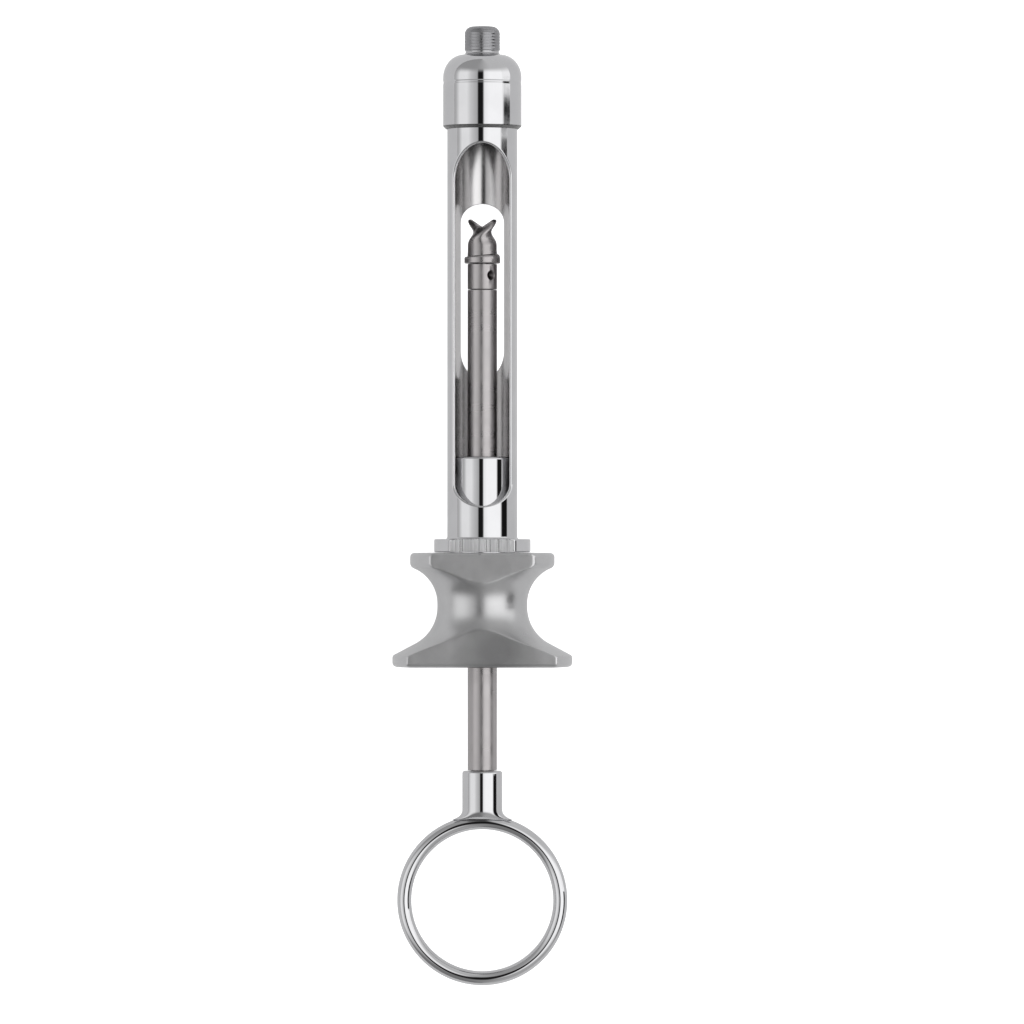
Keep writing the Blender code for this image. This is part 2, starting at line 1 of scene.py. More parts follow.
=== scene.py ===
"""The looks of the aspirating dental syringe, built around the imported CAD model.

Every piece is shaped upright about the Z axis, with the needle end up and the loading window
facing -Y, then laid down like the CAD part: a station on the upright axis is a world Y. An
azimuth is measured from the front, towards +X.
"""

from math import acos, cos, hypot, pi, radians, sin, sqrt, tan

import bmesh
import bpy
import numpy as np
from mathutils import Matrix, Vector
from mathutils.geometry import delaunay_2d_cdt


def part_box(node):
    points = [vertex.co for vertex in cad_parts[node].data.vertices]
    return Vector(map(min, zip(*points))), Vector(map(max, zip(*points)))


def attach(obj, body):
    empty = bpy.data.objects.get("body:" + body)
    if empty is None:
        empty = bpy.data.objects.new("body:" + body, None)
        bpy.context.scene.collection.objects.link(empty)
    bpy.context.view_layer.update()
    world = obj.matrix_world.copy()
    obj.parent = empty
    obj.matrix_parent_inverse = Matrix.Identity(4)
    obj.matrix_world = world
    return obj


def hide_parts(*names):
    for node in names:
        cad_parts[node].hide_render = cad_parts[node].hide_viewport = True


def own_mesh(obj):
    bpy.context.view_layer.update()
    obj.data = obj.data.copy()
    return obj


MM = 0.001
SIDES = 128  # sides of a round piece
WELD = 1e-8  # corners nearer than this are one point
LEAST_AREA = 1e-16  # faces smaller than this are dropped
SHORTEST_STEP = 0.01 * MM  # an arc that starts nearer than this to the line starts at its end

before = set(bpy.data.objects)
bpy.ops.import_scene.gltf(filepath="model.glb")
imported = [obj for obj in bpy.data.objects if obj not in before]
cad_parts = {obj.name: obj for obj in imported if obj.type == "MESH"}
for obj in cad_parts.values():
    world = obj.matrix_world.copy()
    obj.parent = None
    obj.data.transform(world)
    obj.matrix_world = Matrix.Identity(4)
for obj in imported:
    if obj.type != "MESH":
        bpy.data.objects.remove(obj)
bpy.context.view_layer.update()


def ends(node):
    """The lowest and the highest station of a CAD node."""
    low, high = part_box(node)
    return low.y, high.y


def radius(node):
    """Half the width of a CAD node."""
    low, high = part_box(node)
    return (high.x - low.x) / 2


AXIS_HEIGHT = (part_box("plunger_rod")[0].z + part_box("plunger_rod")[1].z) / 2
LAY_DOWN = Matrix.Translation((0, 0, AXIS_HEIGHT)) @ Matrix.Rotation(-pi / 2, 4, "X")


# ---------------------------------------------------------------- mesh building


class Shell:
    """A closed mesh made corner by corner. Each corner has its own normal, so that a true
    curve is shaded as one and an edge stays crisp."""

    def __init__(self, name):
        self.name = name
        self.points = []
        self.index = {}
        self.faces = []
        self.normals = []

    def point(self, co):
        key = tuple(int(round(c / WELD)) for c in co)
        if key not in self.index:
            self.index[key] = len(self.points)
            self.points.append(tuple(float(c) for c in co))
        return self.index[key]

    def face(self, corners):
        """corners: (position, normal) pairs in order. Repeated points are dropped."""
        kept = []
        for co, normal in corners:
            at = self.point(co)
            if at not in [k[0] for k in kept]:
                kept.append((at, normal))
        if len(kept) < 3:
            return
        flat = np.zeros(3)
        places = [np.array(self.points[k[0]]) for k in kept]
        for a, b in zip(places[1:], places[2:]):
            flat += np.cross(a - places[0], b - places[0])
        if np.linalg.norm(flat) < LEAST_AREA:
            return
        if flat @ sum(np.array(k[1]) for k in kept) < 0:
            kept.reverse()
        self.faces.append([k[0] for k in kept])
        self.normals.append([tuple(k[1]) for k in kept])

    def strip(self, ring_a, normals_a, ring_b, normals_b):
        """Faces between two closed rings."""
        for k in range(len(ring_a)):
            j = (k + 1) % len(ring_a)
            self.face(
                (
                    (ring_a[k], normals_a[k]),
                    (ring_b[k], normals_b[k]),
                    (ring_b[j], normals_b[j]),
                    (ring_a[j], normals_a[j]),
                )
            )

    def mesh(self):
        mesh = bpy.data.meshes.new(self.name)
        mesh.from_pydata([LAY_DOWN @ Vector(p) for p in self.points], [], self.faces)
        turn = LAY_DOWN.to_3x3()
        corners = [(turn @ Vector(n)).normalized() for face in self.normals for n in face]
        mesh.shade_smooth()
        mesh.normals_split_custom_set(corners)
        return mesh


class Profile:
    """A line through (radius, station) points. The outside runs down and the inside up."""

    def __init__(self, r, z):
        self.points = [(r, z)]
        self.spans = []  # the tangent at the start and at the end of each step

    def to(self, r, z):
        last_r, last_z = self.points[-1]
        length = hypot(r - last_r, z - last_z)
        if length > WELD:
            tangent = ((r - last_r) / length, (z - last_z) / length)
            self.points.append((r, z))
            self.spans.append((tangent, tangent))
        return self

    def arc(self, centre, radii, start, end, steps):
        """Angles in degrees: 0 is outward and 90 is up."""
        way = 1 if end > start else -1
        for i in range(steps + 1):
            angle = radians(start + (end - start) * i / steps)
            r, z = centre[0] + radii[0] * cos(angle), centre[1] + radii[1] * sin(angle)
            tangent = np.array((-radii[0] * sin(angle), radii[1] * cos(angle))) * way
            tangent = tuple(tangent / np.linalg.norm(tangent))
            if i > 0:
                self.points.append((r, z))
                self.spans.append((last, tangent))
            elif hypot(r - self.points[-1][0], z - self.points[-1][1]) > SHORTEST_STEP:
                self.to(r, z)
            last = tangent
        return self

    def wave(self, r, station, half_height, depth, steps=12):
        """A soft groove on the way down."""
        for i in range(steps + 1):
            phase = pi * (2 * i / steps - 1)
            z = station - half_height * phase / pi
            slope = -0.5 * depth * sin(phase) * pi / half_height
            length = hypot(slope, -1.0)
            tangent = (slope / length, -1.0 / length)
            if i == 0:
                self.to(r, z)
            else:
                self.points.append((r - 0.5 * depth * (1 + cos(phase)), z))
                self.spans.append((last, tangent))
            last = tangent
        return self

    def round(self, corner, size, start, end, steps=5):
        """A rounded outside corner. The sharp corner would be at the given point."""
        out_r = cos(radians(start)) + cos(radians(end))
        out_z = sin(radians(start)) + sin(radians(end))
        centre_r = corner[0] - size * np.sign(round(out_r, 6))
        centre_z = corner[1] - size * np.sign(round(out_z, 6))
        return self.arc((centre_r, centre_z), (size, size), start, end, steps)


def around(count=SIDES):
    return np.linspace(0, 2 * pi, count, endpoint=False)


def circle(r, z, angles):
    """Points round the axis at a station. r is one radius or one for each azimuth."""
    s, c = np.sin(angles), np.cos(angles)
    return np.stack((r * s, -r * c, np.full_like(s, z)), 1)


def turned(shell, profile, angles=None):
    """Turn a profile a full circle."""
    angles = around() if angles is None else angles
    s, c = np.sin(angles), np.cos(angles)

    def normals(tangent):
        return np.stack((-tangent[1] * s, tangent[1] * c, np.full_like(s, tangent[0])), 1)

    for (a, b), (start, end) in zip(zip(profile.points, profile.points[1:]), profile.spans):
        shell.strip(circle(*a, angles), normals(start), circle(*b, angles), normals(end))


def turned_mesh(node, profile):
    shell = Shell(f"{node}_look")
    turned(shell, profile)
    return shell.mesh()


def quarter_turns(first):
    """Azimuths of a full turn from those of its first quarter, from 0 to 90 degrees."""
    first = list(first)
    back = [pi - a for a in reversed(first[:-1])]
    half = first + back
    return np.array(half + [a + pi for a in half[1:-1]])


LEAST_SPLIT = radians(14)  # least azimuth of the edge between a flat and a radius
MOST_HALF_EDGE = radians(3)


def milled_quarter(r, offset, softness, flat_steps, edge_steps, round_steps):
    """Azimuths of a quarter turn, gathered where a flat at an offset meets a radius."""
    split = acos(offset / r) if r > offset else 0.0
    split = max(split, LEAST_SPLIT)
    slope = offset * tan(split) / cos(split)
    half = min(softness / slope, MOST_HALF_EDGE)
    parts = [
        np.linspace(0, split - half, flat_steps, endpoint=False),
        np.linspace(split - half, split + half, edge_steps, endpoint=False),
        np.linspace(split + half, pi / 2, round_steps + 1),
    ]
    return np.concatenate(parts)


def milled_ring(angles, r, z, offset, softness):
    """A ring of radius r that is milled flat in front and behind, its share of the round
    surface at each point, and the slope of its radius."""
    c, s = np.cos(angles), np.sin(angles)
    size = np.maximum(np.abs(c), 1e-6)
    flat = offset / size
    share = np.clip(0.5 + 0.5 * (flat - r) / softness, 0, 1)
    reach = flat * (1 - share) + r * share - softness * share * (1 - share)
    slope = (1 - share) * offset * s * np.sign(c) / size**2
    return circle(reach, z, angles), reach, share, slope


def milled(shell, profile, offset_at, softness, angles_at):
    """Turn a profile and mill it flat in front and behind. offset_at gives the offset of the
    flat and its slope at a station, angles_at the azimuths for a radius and an offset."""

    def corner_ring(r, z, tangent):
        offset, offset_slope = offset_at(z)
        angles = angles_at(r, offset)
        ring, reach, share, slope = milled_ring(angles, r, z, offset, softness)
        s, c = np.sin(angles), np.cos(angles)
        dr, dz = tangent
        if abs(dz) < 1e-9:
            up = np.sign(dr)
            return ring, np.tile((0.0, 0.0, up), (len(angles), 1))
        grow = share * dr + (1 - share) * offset_slope * dz / np.maximum(np.abs(c), 1e-6)
        radial, sideways, upward = -reach * dz, slope * dz, reach * grow
        normal = np.stack((radial * s + sideways * c, -radial * c + sideways * s, upward), 1)
        return ring, normal / np.linalg.norm(normal, axis=1)[:, None]

    for (a, b), (start, end) in zip(zip(profile.points, profile.points[1:]), profile.spans):
        shell.strip(*corner_ring(*a, start), *corner_ring(*b, end))


def lofted_mesh(name, rings, sharp_angle=40, looped=False):
    """A closed mesh through rings of the same number of points. The ends are flat faces, or
    the last ring meets the first."""
    bm = bmesh.new()
    made = [[bm.verts.new(LAY_DOWN @ Vector(p)) for p in ring] for ring in rings]
    for low, high in zip(made, made[1:] + (made[:1] if looped else [])):
        for i in range(len(low)):
            j = (i + 1) % len(low)
            bm.faces.new((low[i], low[j], high[j], high[i]))
    if not looped:
        bm.faces.new(list(reversed(made[0])))
        bm.faces.new(made[-1])
    bmesh.ops.recalc_face_normals(bm, faces=bm.faces)
    mesh = bpy.data.meshes.new(name)
    bm.to_mesh(mesh)
    bm.free()
    mesh.shade_smooth()
    mesh.set_sharp_from_angle(angle=radians(sharp_angle))
    return mesh


def apply_modifiers(obj):
    bpy.context.view_layer.update()
    mesh = bpy.data.meshes.new_from_object(obj.evaluated_get(bpy.context.evaluated_depsgraph_get()))
    mesh.name = obj.data.name
    obj.modifiers.clear()
    obj.data = mesh


def cut_away(obj, mesh, sharp_angle):
    """Take a closed mesh away from a piece."""
    tool = bpy.data.objects.new(mesh.name, mesh)
    bpy.context.scene.collection.objects.link(tool)
    cut = obj.modifiers.new(mesh.name, "BOOLEAN")
    cut.operation = "DIFFERENCE"
    cut.object = tool
    apply_modifiers(obj)
    bpy.data.objects.remove(tool)
    obj.data.shade_smooth()
    obj.data.set_sharp_from_angle(angle=radians(sharp_angle))


def add_piece(node, mesh, body, slot, material):
    """A piece that stands in for a CAD node."""
    obj = bpy.data.objects.new(f"{node}_look", mesh)
    bpy.context.scene.collection.objects.link(obj)
    obj.data.materials.clear()
    obj.data.materials.append(material)
    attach(obj, body)
    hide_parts(node)
    return obj


# ---------------------------------------------------------------- materials


MIX_FACTOR, MIX_COLOUR_A, MIX_COLOUR_B, MIX_COLOUR_OUT = 0, 6, 7, 2  # a Mix node's sockets for colours
MIX_VALUE_A, MIX_VALUE_B, MIX_VALUE_OUT = 2, 3, 0  # and for plain values
NOISE_LOW, NOISE_HIGH = 0.35, 0.65  # most values of a noise lie between these


class NodeMaker:
    """Short ways to add shader nodes. What goes into a node is a number or an output."""

    def __init__(self, tree):
        self.nodes = tree.nodes
        self.links = tree.links

    def feed(self, socket, value):
        if isinstance(value, (int, float)):
            socket.default_value = value
        else:
            self.links.new(value, socket)

    def maths(self, operation, a, b):
        node = self.nodes.new("ShaderNodeMath")
        node.operation = operation
        self.feed(node.inputs[0], a)
        self.feed(node.inputs[1], b)
        return node.outputs["Value"]


class Finish(NodeMaker):
    """A node material on a Principled shader, built from object coordinates in metres."""

    def __init__(self, name, colour, roughness, metallic=1.0):
        self.material = bpy.data.materials.new(name)
        self.material.use_nodes = True
        super().__init__(self.material.node_tree)
        self.shader = self.nodes["Principled BSDF"]
        self.shader.inputs["Metallic"].default_value = metallic
        self.coords = self.nodes.new("ShaderNodeTexCoord").outputs["Object"]
        self.colour = colour
        self.roughness = roughness

    def scaled(self, scale):
        mapping = self.nodes.new("ShaderNodeMapping")
        mapping.inputs["Scale"].default_value = scale
        self.links.new(self.coords, mapping.inputs["Vector"])
        return mapping.outputs["Vector"]

    def noise(self, size, detail=3.0, stretch=(1, 1, 1), distortion=0.0):
        """Noise whose grain is about size long, from 0 to 1."""
        node = self.nodes.new("ShaderNodeTexNoise")
        node.inputs["Scale"].default_value = 1.0
        node.inputs["Detail"].default_value = detail
        node.inputs["Distortion"].default_value = distortion
        self.links.new(self.scaled([way / size for way in stretch]), node.inputs["Vector"])
        return node.outputs["Fac"]

    def between(self, factor, low, high, from_low=NOISE_LOW, from_high=NOISE_HIGH):
        """Stretch a factor to the range from low to high."""
        node = self.nodes.new("ShaderNodeMapRange")
        node.inputs["From Min"].default_value = from_low
        node.inputs["From Max"].default_value = from_high
        node.inputs["To Min"].default_value = low
        node.inputs["To Max"].default_value = high
        self.links.new(factor, node.inputs["Value"])
        return node.outputs["Result"]

    def edges(self, low=0.505, high=0.56):
        """1 along outside edges and 0 elsewhere."""
        pointiness = self.nodes.new("ShaderNodeNewGeometry").outputs["Pointiness"]
        return self.between(pointiness, 0, 1, low, high)

    def paint(self, patches, spread, wear=None, worn=None):
        """Base colour: the finish's own, varied by patches, and lighter where worn."""
        ramp = self.nodes.new("ShaderNodeValToRGB")
        low, high = ramp.color_ramp.elements
        low.position, high.position = 0.3, 0.7
        low.color = (*[c * (1 - spread) for c in self.colour], 1)
        high.color = (*[min(1.0, c * (1 + spread)) for c in self.colour], 1)
        self.links.new(patches, ramp.inputs["Fac"])
        out = ramp.outputs["Color"]
        if wear is not None:
            mix = self.nodes.new("ShaderNodeMix")
            mix.data_type = "RGBA"
            mix.inputs[MIX_COLOUR_B].default_value = (*worn, 1)
            self.links.new(wear, mix.inputs[MIX_FACTOR])
            self.links.new(out, mix.inputs[MIX_COLOUR_A])
            out = mix.outputs[MIX_COLOUR_OUT]
        self.links.new(out, self.shader.inputs["Base Color"])

    def patch(self, place, r, shade):
        """shade at a place, rising to 1 at a distance of r from it."""
        node = self.nodes.new("ShaderNodeVectorMath")
        node.operation = "DISTANCE"
        self.links.new(self.coords, node.inputs[0])
        node.inputs[1].default_value = place
        return self.between(node.outputs["Value"], shade, 1, 0.25 * r, r)

    def darken(self, shade):
        """Multiply the base colour that was painted."""
        mix = self.nodes.new("ShaderNodeMix")
        mix.data_type = "RGBA"
        mix.blend_type = "MULTIPLY"
        mix.inputs[MIX_FACTOR].default_value = 1.0
        base = self.shader.inputs["Base Color"]
        self.links.new(base.links[0].from_socket, mix.inputs[MIX_COLOUR_A])
        self.links.new(shade, mix.inputs[MIX_COLOUR_B])
        self.links.new(mix.outputs[MIX_COLOUR_OUT], base)

    def rough(self, value):
        self.links.new(value, self.shader.inputs["Roughness"])

    def bump(self, height, depth):
        """Raise the surface by up to depth."""
        node = self.nodes.new("ShaderNodeBump")
        node.inputs["Distance"].default_value = depth
        node.inputs["Strength"].default_value = 1.0
        self.links.new(height, node.inputs["Height"])
        self.links.new(node.outputs["Normal"], self.shader.inputs["Normal"])

    def weather(self, patches, spread, rougher, grain, depth, wear=None, worn=None):
        """Patches vary the colour by spread and the roughness by the two values in rougher,
        and a fine grain is raised by depth."""
        self.paint(patches, spread, wear, worn)
        low, high = rougher
        self.rough(self.between(patches, self.roughness + low, self.roughness + high))
        self.bump(grain, depth)
        return self.material


def chrome(name, colour=(0.53, 0.53, 0.54), roughness=0.025):
    """Polished chrome: faint haze in patches and hairline polishing marks."""
    finish = Finish(name, colour, roughness)
    haze = finish.noise(4 * MM, 3.0)
    marks = finish.noise(0.12 * MM, 2.0, (1, 0.05, 1))
    wear = finish.maths("MULTIPLY", finish.edges(), 0.5)
    finish.paint(haze, 0.03, wear, (0.6, 0.6, 0.61))
    smooth = finish.between(haze, roughness * 0.6, roughness * 1.5)
    finish.rough(finish.maths("ADD", smooth, finish.maths("MULTIPLY", finish.edges(), 0.03)))
    finish.bump(marks, 0.00006 * MM)
    return finish.material


def milled_chrome(name, colour=(0.76, 0.76, 0.77), roughness=0.3):
    """Chrome over the marks of a milling cutter, which run along the axis."""
    finish = Finish(name, colour, roughness)
    marks = finish.noise(0.4 * MM, 2.0, (1, 0.02, 1))
    rougher = (-0.1 * roughness, 0.1 * roughness)
    return finish.weather(marks, 0.08, rougher, marks, 0.02 * MM)


def bored_chrome(name, colour=(0.56, 0.552, 0.554), roughness=0.2):
    """Inside walls, where the plating is thin and the cutter's marks show."""
    finish = Finish(name, colour, roughness)
    haze = finish.noise(3 * MM, 3.0)
    marks = finish.noise(0.15 * MM, 2.0, (1, 0.3, 1))
    rougher = (-0.15 * roughness, 0.25 * roughness)
    return finish.weather(haze, 0.06, rougher, marks, 0.0015 * MM)


def painted_seam_shade(name, colour=(0.15, 0.15, 0.15), roughness=0.25):
    """Chrome painted dark: a painted shade for the seam under the head cap, varied in patches."""
    finish = Finish(name, colour, roughness)
    shade_patches, grain = finish.noise(0.5 * MM, 4.0), finish.noise(0.1 * MM, 2.0)
    return finish.weather(shade_patches, 0.25, (-0.08, 0.12), grain, 0.003 * MM)


PAINTED_SHADE_PLACE = (2.5 * MM, -24.2 * MM, 16.8 * MM)  # where a painted shade darkens the grip's lower flat
PAINTED_SHADE_R = 8 * MM
PAINTED_SHADE_LEVEL = 0.6


def blasted(name, colour=(0.49, 0.49, 0.495), roughness=0.3):
    """Bead-blasted metal: a fine grain of dimples, mottled, with its edges rubbed brighter, and a painted
    shade on the grip's lower flat.
    """
    finish = Finish(name, colour, roughness)
    mottle = finish.noise(1.6 * MM, 4.0)
    grain = finish.noise(0.11 * MM, 2.0)
    wear = finish.maths("MULTIPLY", finish.edges(0.505, 0.54), finish.between(mottle, 0.3, 0.9))
    finish.paint(mottle, 0.03, wear, (0.5, 0.5, 0.51))
    # painted shade: the base colour darkens towards a place on the lower flat
    finish.darken(finish.patch(PAINTED_SHADE_PLACE, PAINTED_SHADE_R, PAINTED_SHADE_LEVEL))
    rub = finish.maths("MULTIPLY", finish.edges(0.505, 0.54), -0.03)
    finish.rough(finish.maths("ADD", finish.between(mottle, roughness - 0.012, roughness + 0.016), rub))
    finish.bump(grain, 0.008 * MM)
    return finish.material


def satin(name, colour=(0.34, 0.325, 0.327), roughness=0.3):
    """Centreless-ground steel: fine rings round the axis over a soft sheen."""
    finish = Finish(name, colour, roughness)
    rings = finish.noise(0.09 * MM, 3.0, (0.02, 1, 0.02))
    bands = finish.noise(2.2 * MM, 3.0, (0.15, 1, 0.15))
    stain = finish.noise(5 * MM, 4.0, distortion=0.6)
    wear = finish.maths("MULTIPLY", finish.edges(), 0.6)
    patches = finish.maths("MULTIPLY", finish.maths("ADD", stain, bands), 0.5)
    finish.paint(patches, 0.08, wear, (0.48, 0.46, 0.46))
    finish.rough(finish.between(bands, roughness - 0.04, roughness + 0.06))
    finish.bump(rings, 0.0008 * MM)
    return finish.material


def matt_nickel(name, colour=(0.27, 0.27, 0.28), roughness=0.28):
    """Dull nickel, mottled, with its edges rubbed brighter."""
    finish = Finish(name, colour, roughness)
    mottle, grain = finish.noise(0.9 * MM, 4.0), finish.noise(0.06 * MM, 2.0)
    wear = finish.maths("MULTIPLY", finish.edges(0.51, 0.58), finish.between(mottle, 0.3, 0.9))
    worn = (0.42, 0.42, 0.43)
    return finish.weather(mottle, 0.07, (-0.06, 0.06), grain, 0.004 * MM, wear, worn)


def brass(name, colour=(0.78, 0.60, 0.32), roughness=0.28):
    """Turned brass, tarnished in patches."""
    finish = Finish(name, colour, roughness)
    tarnish, rings = finish.noise(1.8 * MM, 4.0), finish.noise(0.08 * MM, 3.0, (1, 0.3, 1))
    wear, worn = finish.maths("MULTIPLY", finish.edges(), 0.5), (0.9, 0.75, 0.45)
    return finish.weather(tarnish, 0.14, (-0.06, 0.12), rings, 0.002 * MM, wear, worn)


def spring_steel(name, colour=(0.60, 0.60, 0.61), roughness=0.24):
    """Drawn steel, a little uneven."""
    finish = Finish(name, colour, roughness)
    drawn, grain = finish.noise(0.3 * MM, 3.0), finish.noise(0.07 * MM, 2.0)
    wear, worn = finish.maths("MULTIPLY", finish.edges(), 0.4), (0.75, 0.75, 0.76)
    return finish.weather(drawn, 0.1, (-0.05, 0.1), grain, 0.002 * MM, wear, worn)


def rubber(name, colour=(0.03, 0.03, 0.03), roughness=0.7):
    """Black rubber, dusty and paler along its edges."""
    finish = Finish(name, colour, roughness, metallic=0.0)
    dust, grain = finish.noise(0.8 * MM, 4.0), finish.noise(0.1 * MM, 3.0)
    worn = (0.07, 0.07, 0.07)
    return finish.weather(dust, 0.35, (-0.1, 0.1), grain, 0.01 * MM, finish.edges(), worn)


# ---------------------------------------------------------------- barrel

BARREL_BOTTOM, BARREL_TOP = ends("barrel")
BARREL_R = 5.85 * MM
BORE_R = 4.6 * MM
TAIL_R = 5.45 * MM
FLANGE_R = radius("barrel")
FLANGE_TOP = -5.5 * MM
FLANGE_BOTTOM = -7.7 * MM
FLANGE_FLAT_OFFSET = 5.95 * MM
FLANGE_FILLET = 0.4 * MM
FLANGE_EDGE = 0.22 * MM
FLANGE_SOFTNESS = 0.08 * MM
WINDOWED_FROM = -2.5 * MM  # the part of the tube that is meshed round the windows
WINDOWED_TO = 62.0 * MM
# A window's half width, bottom, top, and the rise of its curved bottom and of its curved top.
FRONT_WINDOW = (4.5 * MM, 0.0, 60.3 * MM, 3.7 * MM, 6.2 * MM)
BACK_WINDOW = (3.6 * MM, 21.3 * MM, 50.5 * MM, 4.6 * MM, 3.2 * MM)
WINDOW_ARC_STEPS, WINDOW_SIDE_STEPS = 48, 60
OUTER_LIP = 0.32 * MM  # rounding of the windows' edges
INNER_LIP = 0.1 * MM
GRID_STATIONS = 1.5 * MM  # spacing of the grid that the tube is meshed with, and its sides
GRID_SIDES = 96
GRID_GAP = 0.25 * MM  # grid points stay at least this far from a window's edge
BARREL_EDGE = 0.15 * MM


def window_outline(half_width, bottom, top, bottom_rise, top_rise):
    """A slot with elliptic ends: its points (x, station) and their outward directions."""
    points, ways = [], []
    low, high = bottom + bottom_rise, top - top_rise
    for side, start, end, rise in ((1, high, low, top_rise), (-1, low, high, bottom_rise)):
        for a in np.linspace(0, pi, WINDOW_ARC_STEPS, endpoint=False):
            points.append((side * half_width * cos(a), start + side * rise * sin(a)))
            ways.append((side * cos(a) / half_width, side * sin(a) / rise))
        for z in np.linspace(start, end, WINDOW_SIDE_STEPS, endpoint=False):
            points.append((-side * half_width, z))
            ways.append((-side, 0))
    ways = np.array(ways)
    return np.array(points), ways / np.linalg.norm(ways, axis=1)[:, None]


def unit_blend(start, end, share):
    """Turn from one unit vector to another, row by row."""
    angle = np.arccos(np.clip((start * end).sum(1), -1, 1))[:, None]
    return (np.sin((1 - share) * angle) * start + np.sin(share * angle) * end) / np.sin(angle)


def window_rim(shell, outline, side):
    """The wall of a window and its rounded lips, as a ball rolled along each edge would leave
    them. side is -1 in front and 1 behind. Returns the loops on the outside and in the bore."""
    points, ways = outline

    def ball(size, reach):
        x = points[:, 0] + size * ways[:, 0]
        z = points[:, 1] + size * ways[:, 1]
        return np.stack((x, side * np.sqrt(reach**2 - x**2), z), 1)

    wall_normal = np.stack((-ways[:, 0], np.zeros(len(ways)), -ways[:, 1]), 1)
    rails = []
    outer = ball(OUTER_LIP, BARREL_R - OUTER_LIP)
    radial = outer * (1, 1, 0) / (BARREL_R - OUTER_LIP)
    for i in range(7):
        direction = unit_blend(radial, wall_normal, i / 6)
        rails.append((outer + OUTER_LIP * direction, direction))
    inner = ball(INNER_LIP, BORE_R + INNER_LIP)
    inward = -inner * (1, 1, 0) / (BORE_R + INNER_LIP)
    for i in range(5):
        direction = unit_blend(wall_normal, inward, i / 4)
        rails.append((inner + INNER_LIP * direction, direction))
    for (ring_a, normals_a), (ring_b, normals_b) in zip(rails, rails[1:]):
        shell.strip(ring_a, normals_a, ring_b, normals_b)
    return rails[0][0], rails[-1][0]


def inside(points, loop):
    """Which (u, z) points lie inside a closed loop."""
    found = np.zeros(len(points), bool)
    for (u0, z0), (u1, z1) in zip(loop, np.roll(loop, -1, axis=0)):
        crosses = (z0 > points[:, 1]) != (z1 > points[:, 1])
        if crosses.any():
            at = u0 + (points[:, 1] - z0) * (u1 - u0) / (z1 - z0)
            found ^= crosses & (points[:, 0] < at)
    return found


def tube_half(shell, r, outward, loop, middle, edge_angles):
    """Half of a round wall with one hole in it. middle is the azimuth of the half's middle,
    edge_angles the azimuths of its ends' points, and loop the hole's edge in space."""
    turns = np.arctan2(loop[:, 0], -loop[:, 1])
    turns = (turns - middle + pi) % (2 * pi) - pi + middle
    hole = np.stack((turns * r, loop[:, 2]), 1)
    low, high = middle - pi / 2, middle + pi / 2
    steps = int((WINDOWED_TO - WINDOWED_FROM) / GRID_STATIONS)
    stations = np.linspace(WINDOWED_FROM, WINDOWED_TO, steps + 1)
    ring = [low] + [a for a in edge_angles if low + 1e-6 < a < high - 1e-6] + [high]
    border = [(a * r, WINDOWED_FROM) for a in ring]
    border += [(high * r, z) for z in stations[1:-1]]
    border += [(a * r, WINDOWED_TO) for a in reversed(ring)]
    border += [(low * r, z) for z in reversed(stations[1:-1])]
    columns = np.linspace(low, high, GRID_SIDES // 2 + 1)[1:-1]
    grid = np.array([(a * r, z) for a in columns for z in stations[1:-1]])
    near = np.sqrt(((grid[:, None, :] - hole[None, :, :]) ** 2).sum(2)).min(1)
    grid = grid[(near > GRID_GAP) & ~inside(grid, hole)]
    everything = np.concatenate((border, hole, grid))
    first, count = len(border), len(hole)
    edges = [(i, (i + 1) % first) for i in range(first)]
    edges += [(first + i, first + (i + 1) % count) for i in range(count)]
    result = delaunay_2d_cdt([Vector(p / MM) for p in everything], edges, [], 0, 1e-7)
    places, _, triangles, origins = result[:4]
    flat, corners = [], []
    for place, ids in zip(places, origins):
        u, z = everything[ids[0]] if ids else np.array(tuple(place)) * MM
        flat.append((u, z))
        if ids and first <= ids[0] < first + count:
            spot, a = loop[ids[0] - first], turns[ids[0] - first]
        else:
            a = u / r
            spot = (r * sin(a), -r * cos(a), z)
        corners.append((spot, (outward * sin(a), -outward * cos(a), 0.0)))
    flat = np.array(flat)
    middles = np.array([flat[list(triangle)].mean(0) for triangle in triangles])
    for triangle, removed in zip(triangles, inside(middles, hole)):
        if not removed:
            shell.face([corners[i] for i in triangle])


def build_barrel():
    shell = Shell("barrel_look")
    quarter = milled_quarter(FLANGE_R, FLANGE_FLAT_OFFSET, FLANGE_SOFTNESS, 10, 6, 14)
    angles = quarter_turns(quarter)
    front_edges = [a - 2 * pi if a > pi else a for a in angles]
    front_edges = sorted(a for a in front_edges if abs(a) < pi / 2)
    back_edges = sorted(a for a in angles if pi / 2 < a < 3 * pi / 2)
    front = window_rim(shell, window_outline(*FRONT_WINDOW), -1)
    back = window_rim(shell, window_outline(*BACK_WINDOW), 1)
    for r, outward, which in ((BARREL_R, 1, 0), (BORE_R, -1, 1)):
        tube_half(shell, r, outward, front[which], 0.0, front_edges)
        tube_half(shell, r, outward, back[which], pi, back_edges)
    head = Profile(BORE_R, WINDOWED_TO).to(BORE_R, BARREL_TOP)
    head.round((BARREL_R, BARREL_TOP), BARREL_EDGE, 90, 0, 3)
    head.to(BARREL_R, WINDOWED_TO)
    turned(shell, head, angles)
    foot = Profile(BARREL_R, WINDOWED_FROM)
    foot.arc((BARREL_R + FLANGE_FILLET, FLANGE_TOP + FLANGE_FILLET), (FLANGE_FILLET,) * 2, 180, 270, 8)
    foot.round((FLANGE_R, FLANGE_TOP), FLANGE_EDGE, 90, 0)
    foot.round((FLANGE_R, FLANGE_BOTTOM), FLANGE_EDGE, 0, -90)
    foot.to(TAIL_R, FLANGE_BOTTOM)
    foot.round((TAIL_R, BARREL_BOTTOM), BARREL_EDGE, 0, -90, 3)
    foot.to(BORE_R, BARREL_BOTTOM).to(BORE_R, WINDOWED_FROM)
    milled(shell, foot, lambda z: (FLANGE_FLAT_OFFSET, 0.0), FLANGE_SOFTNESS, lambda r, offset: angles)
    return shell.mesh()


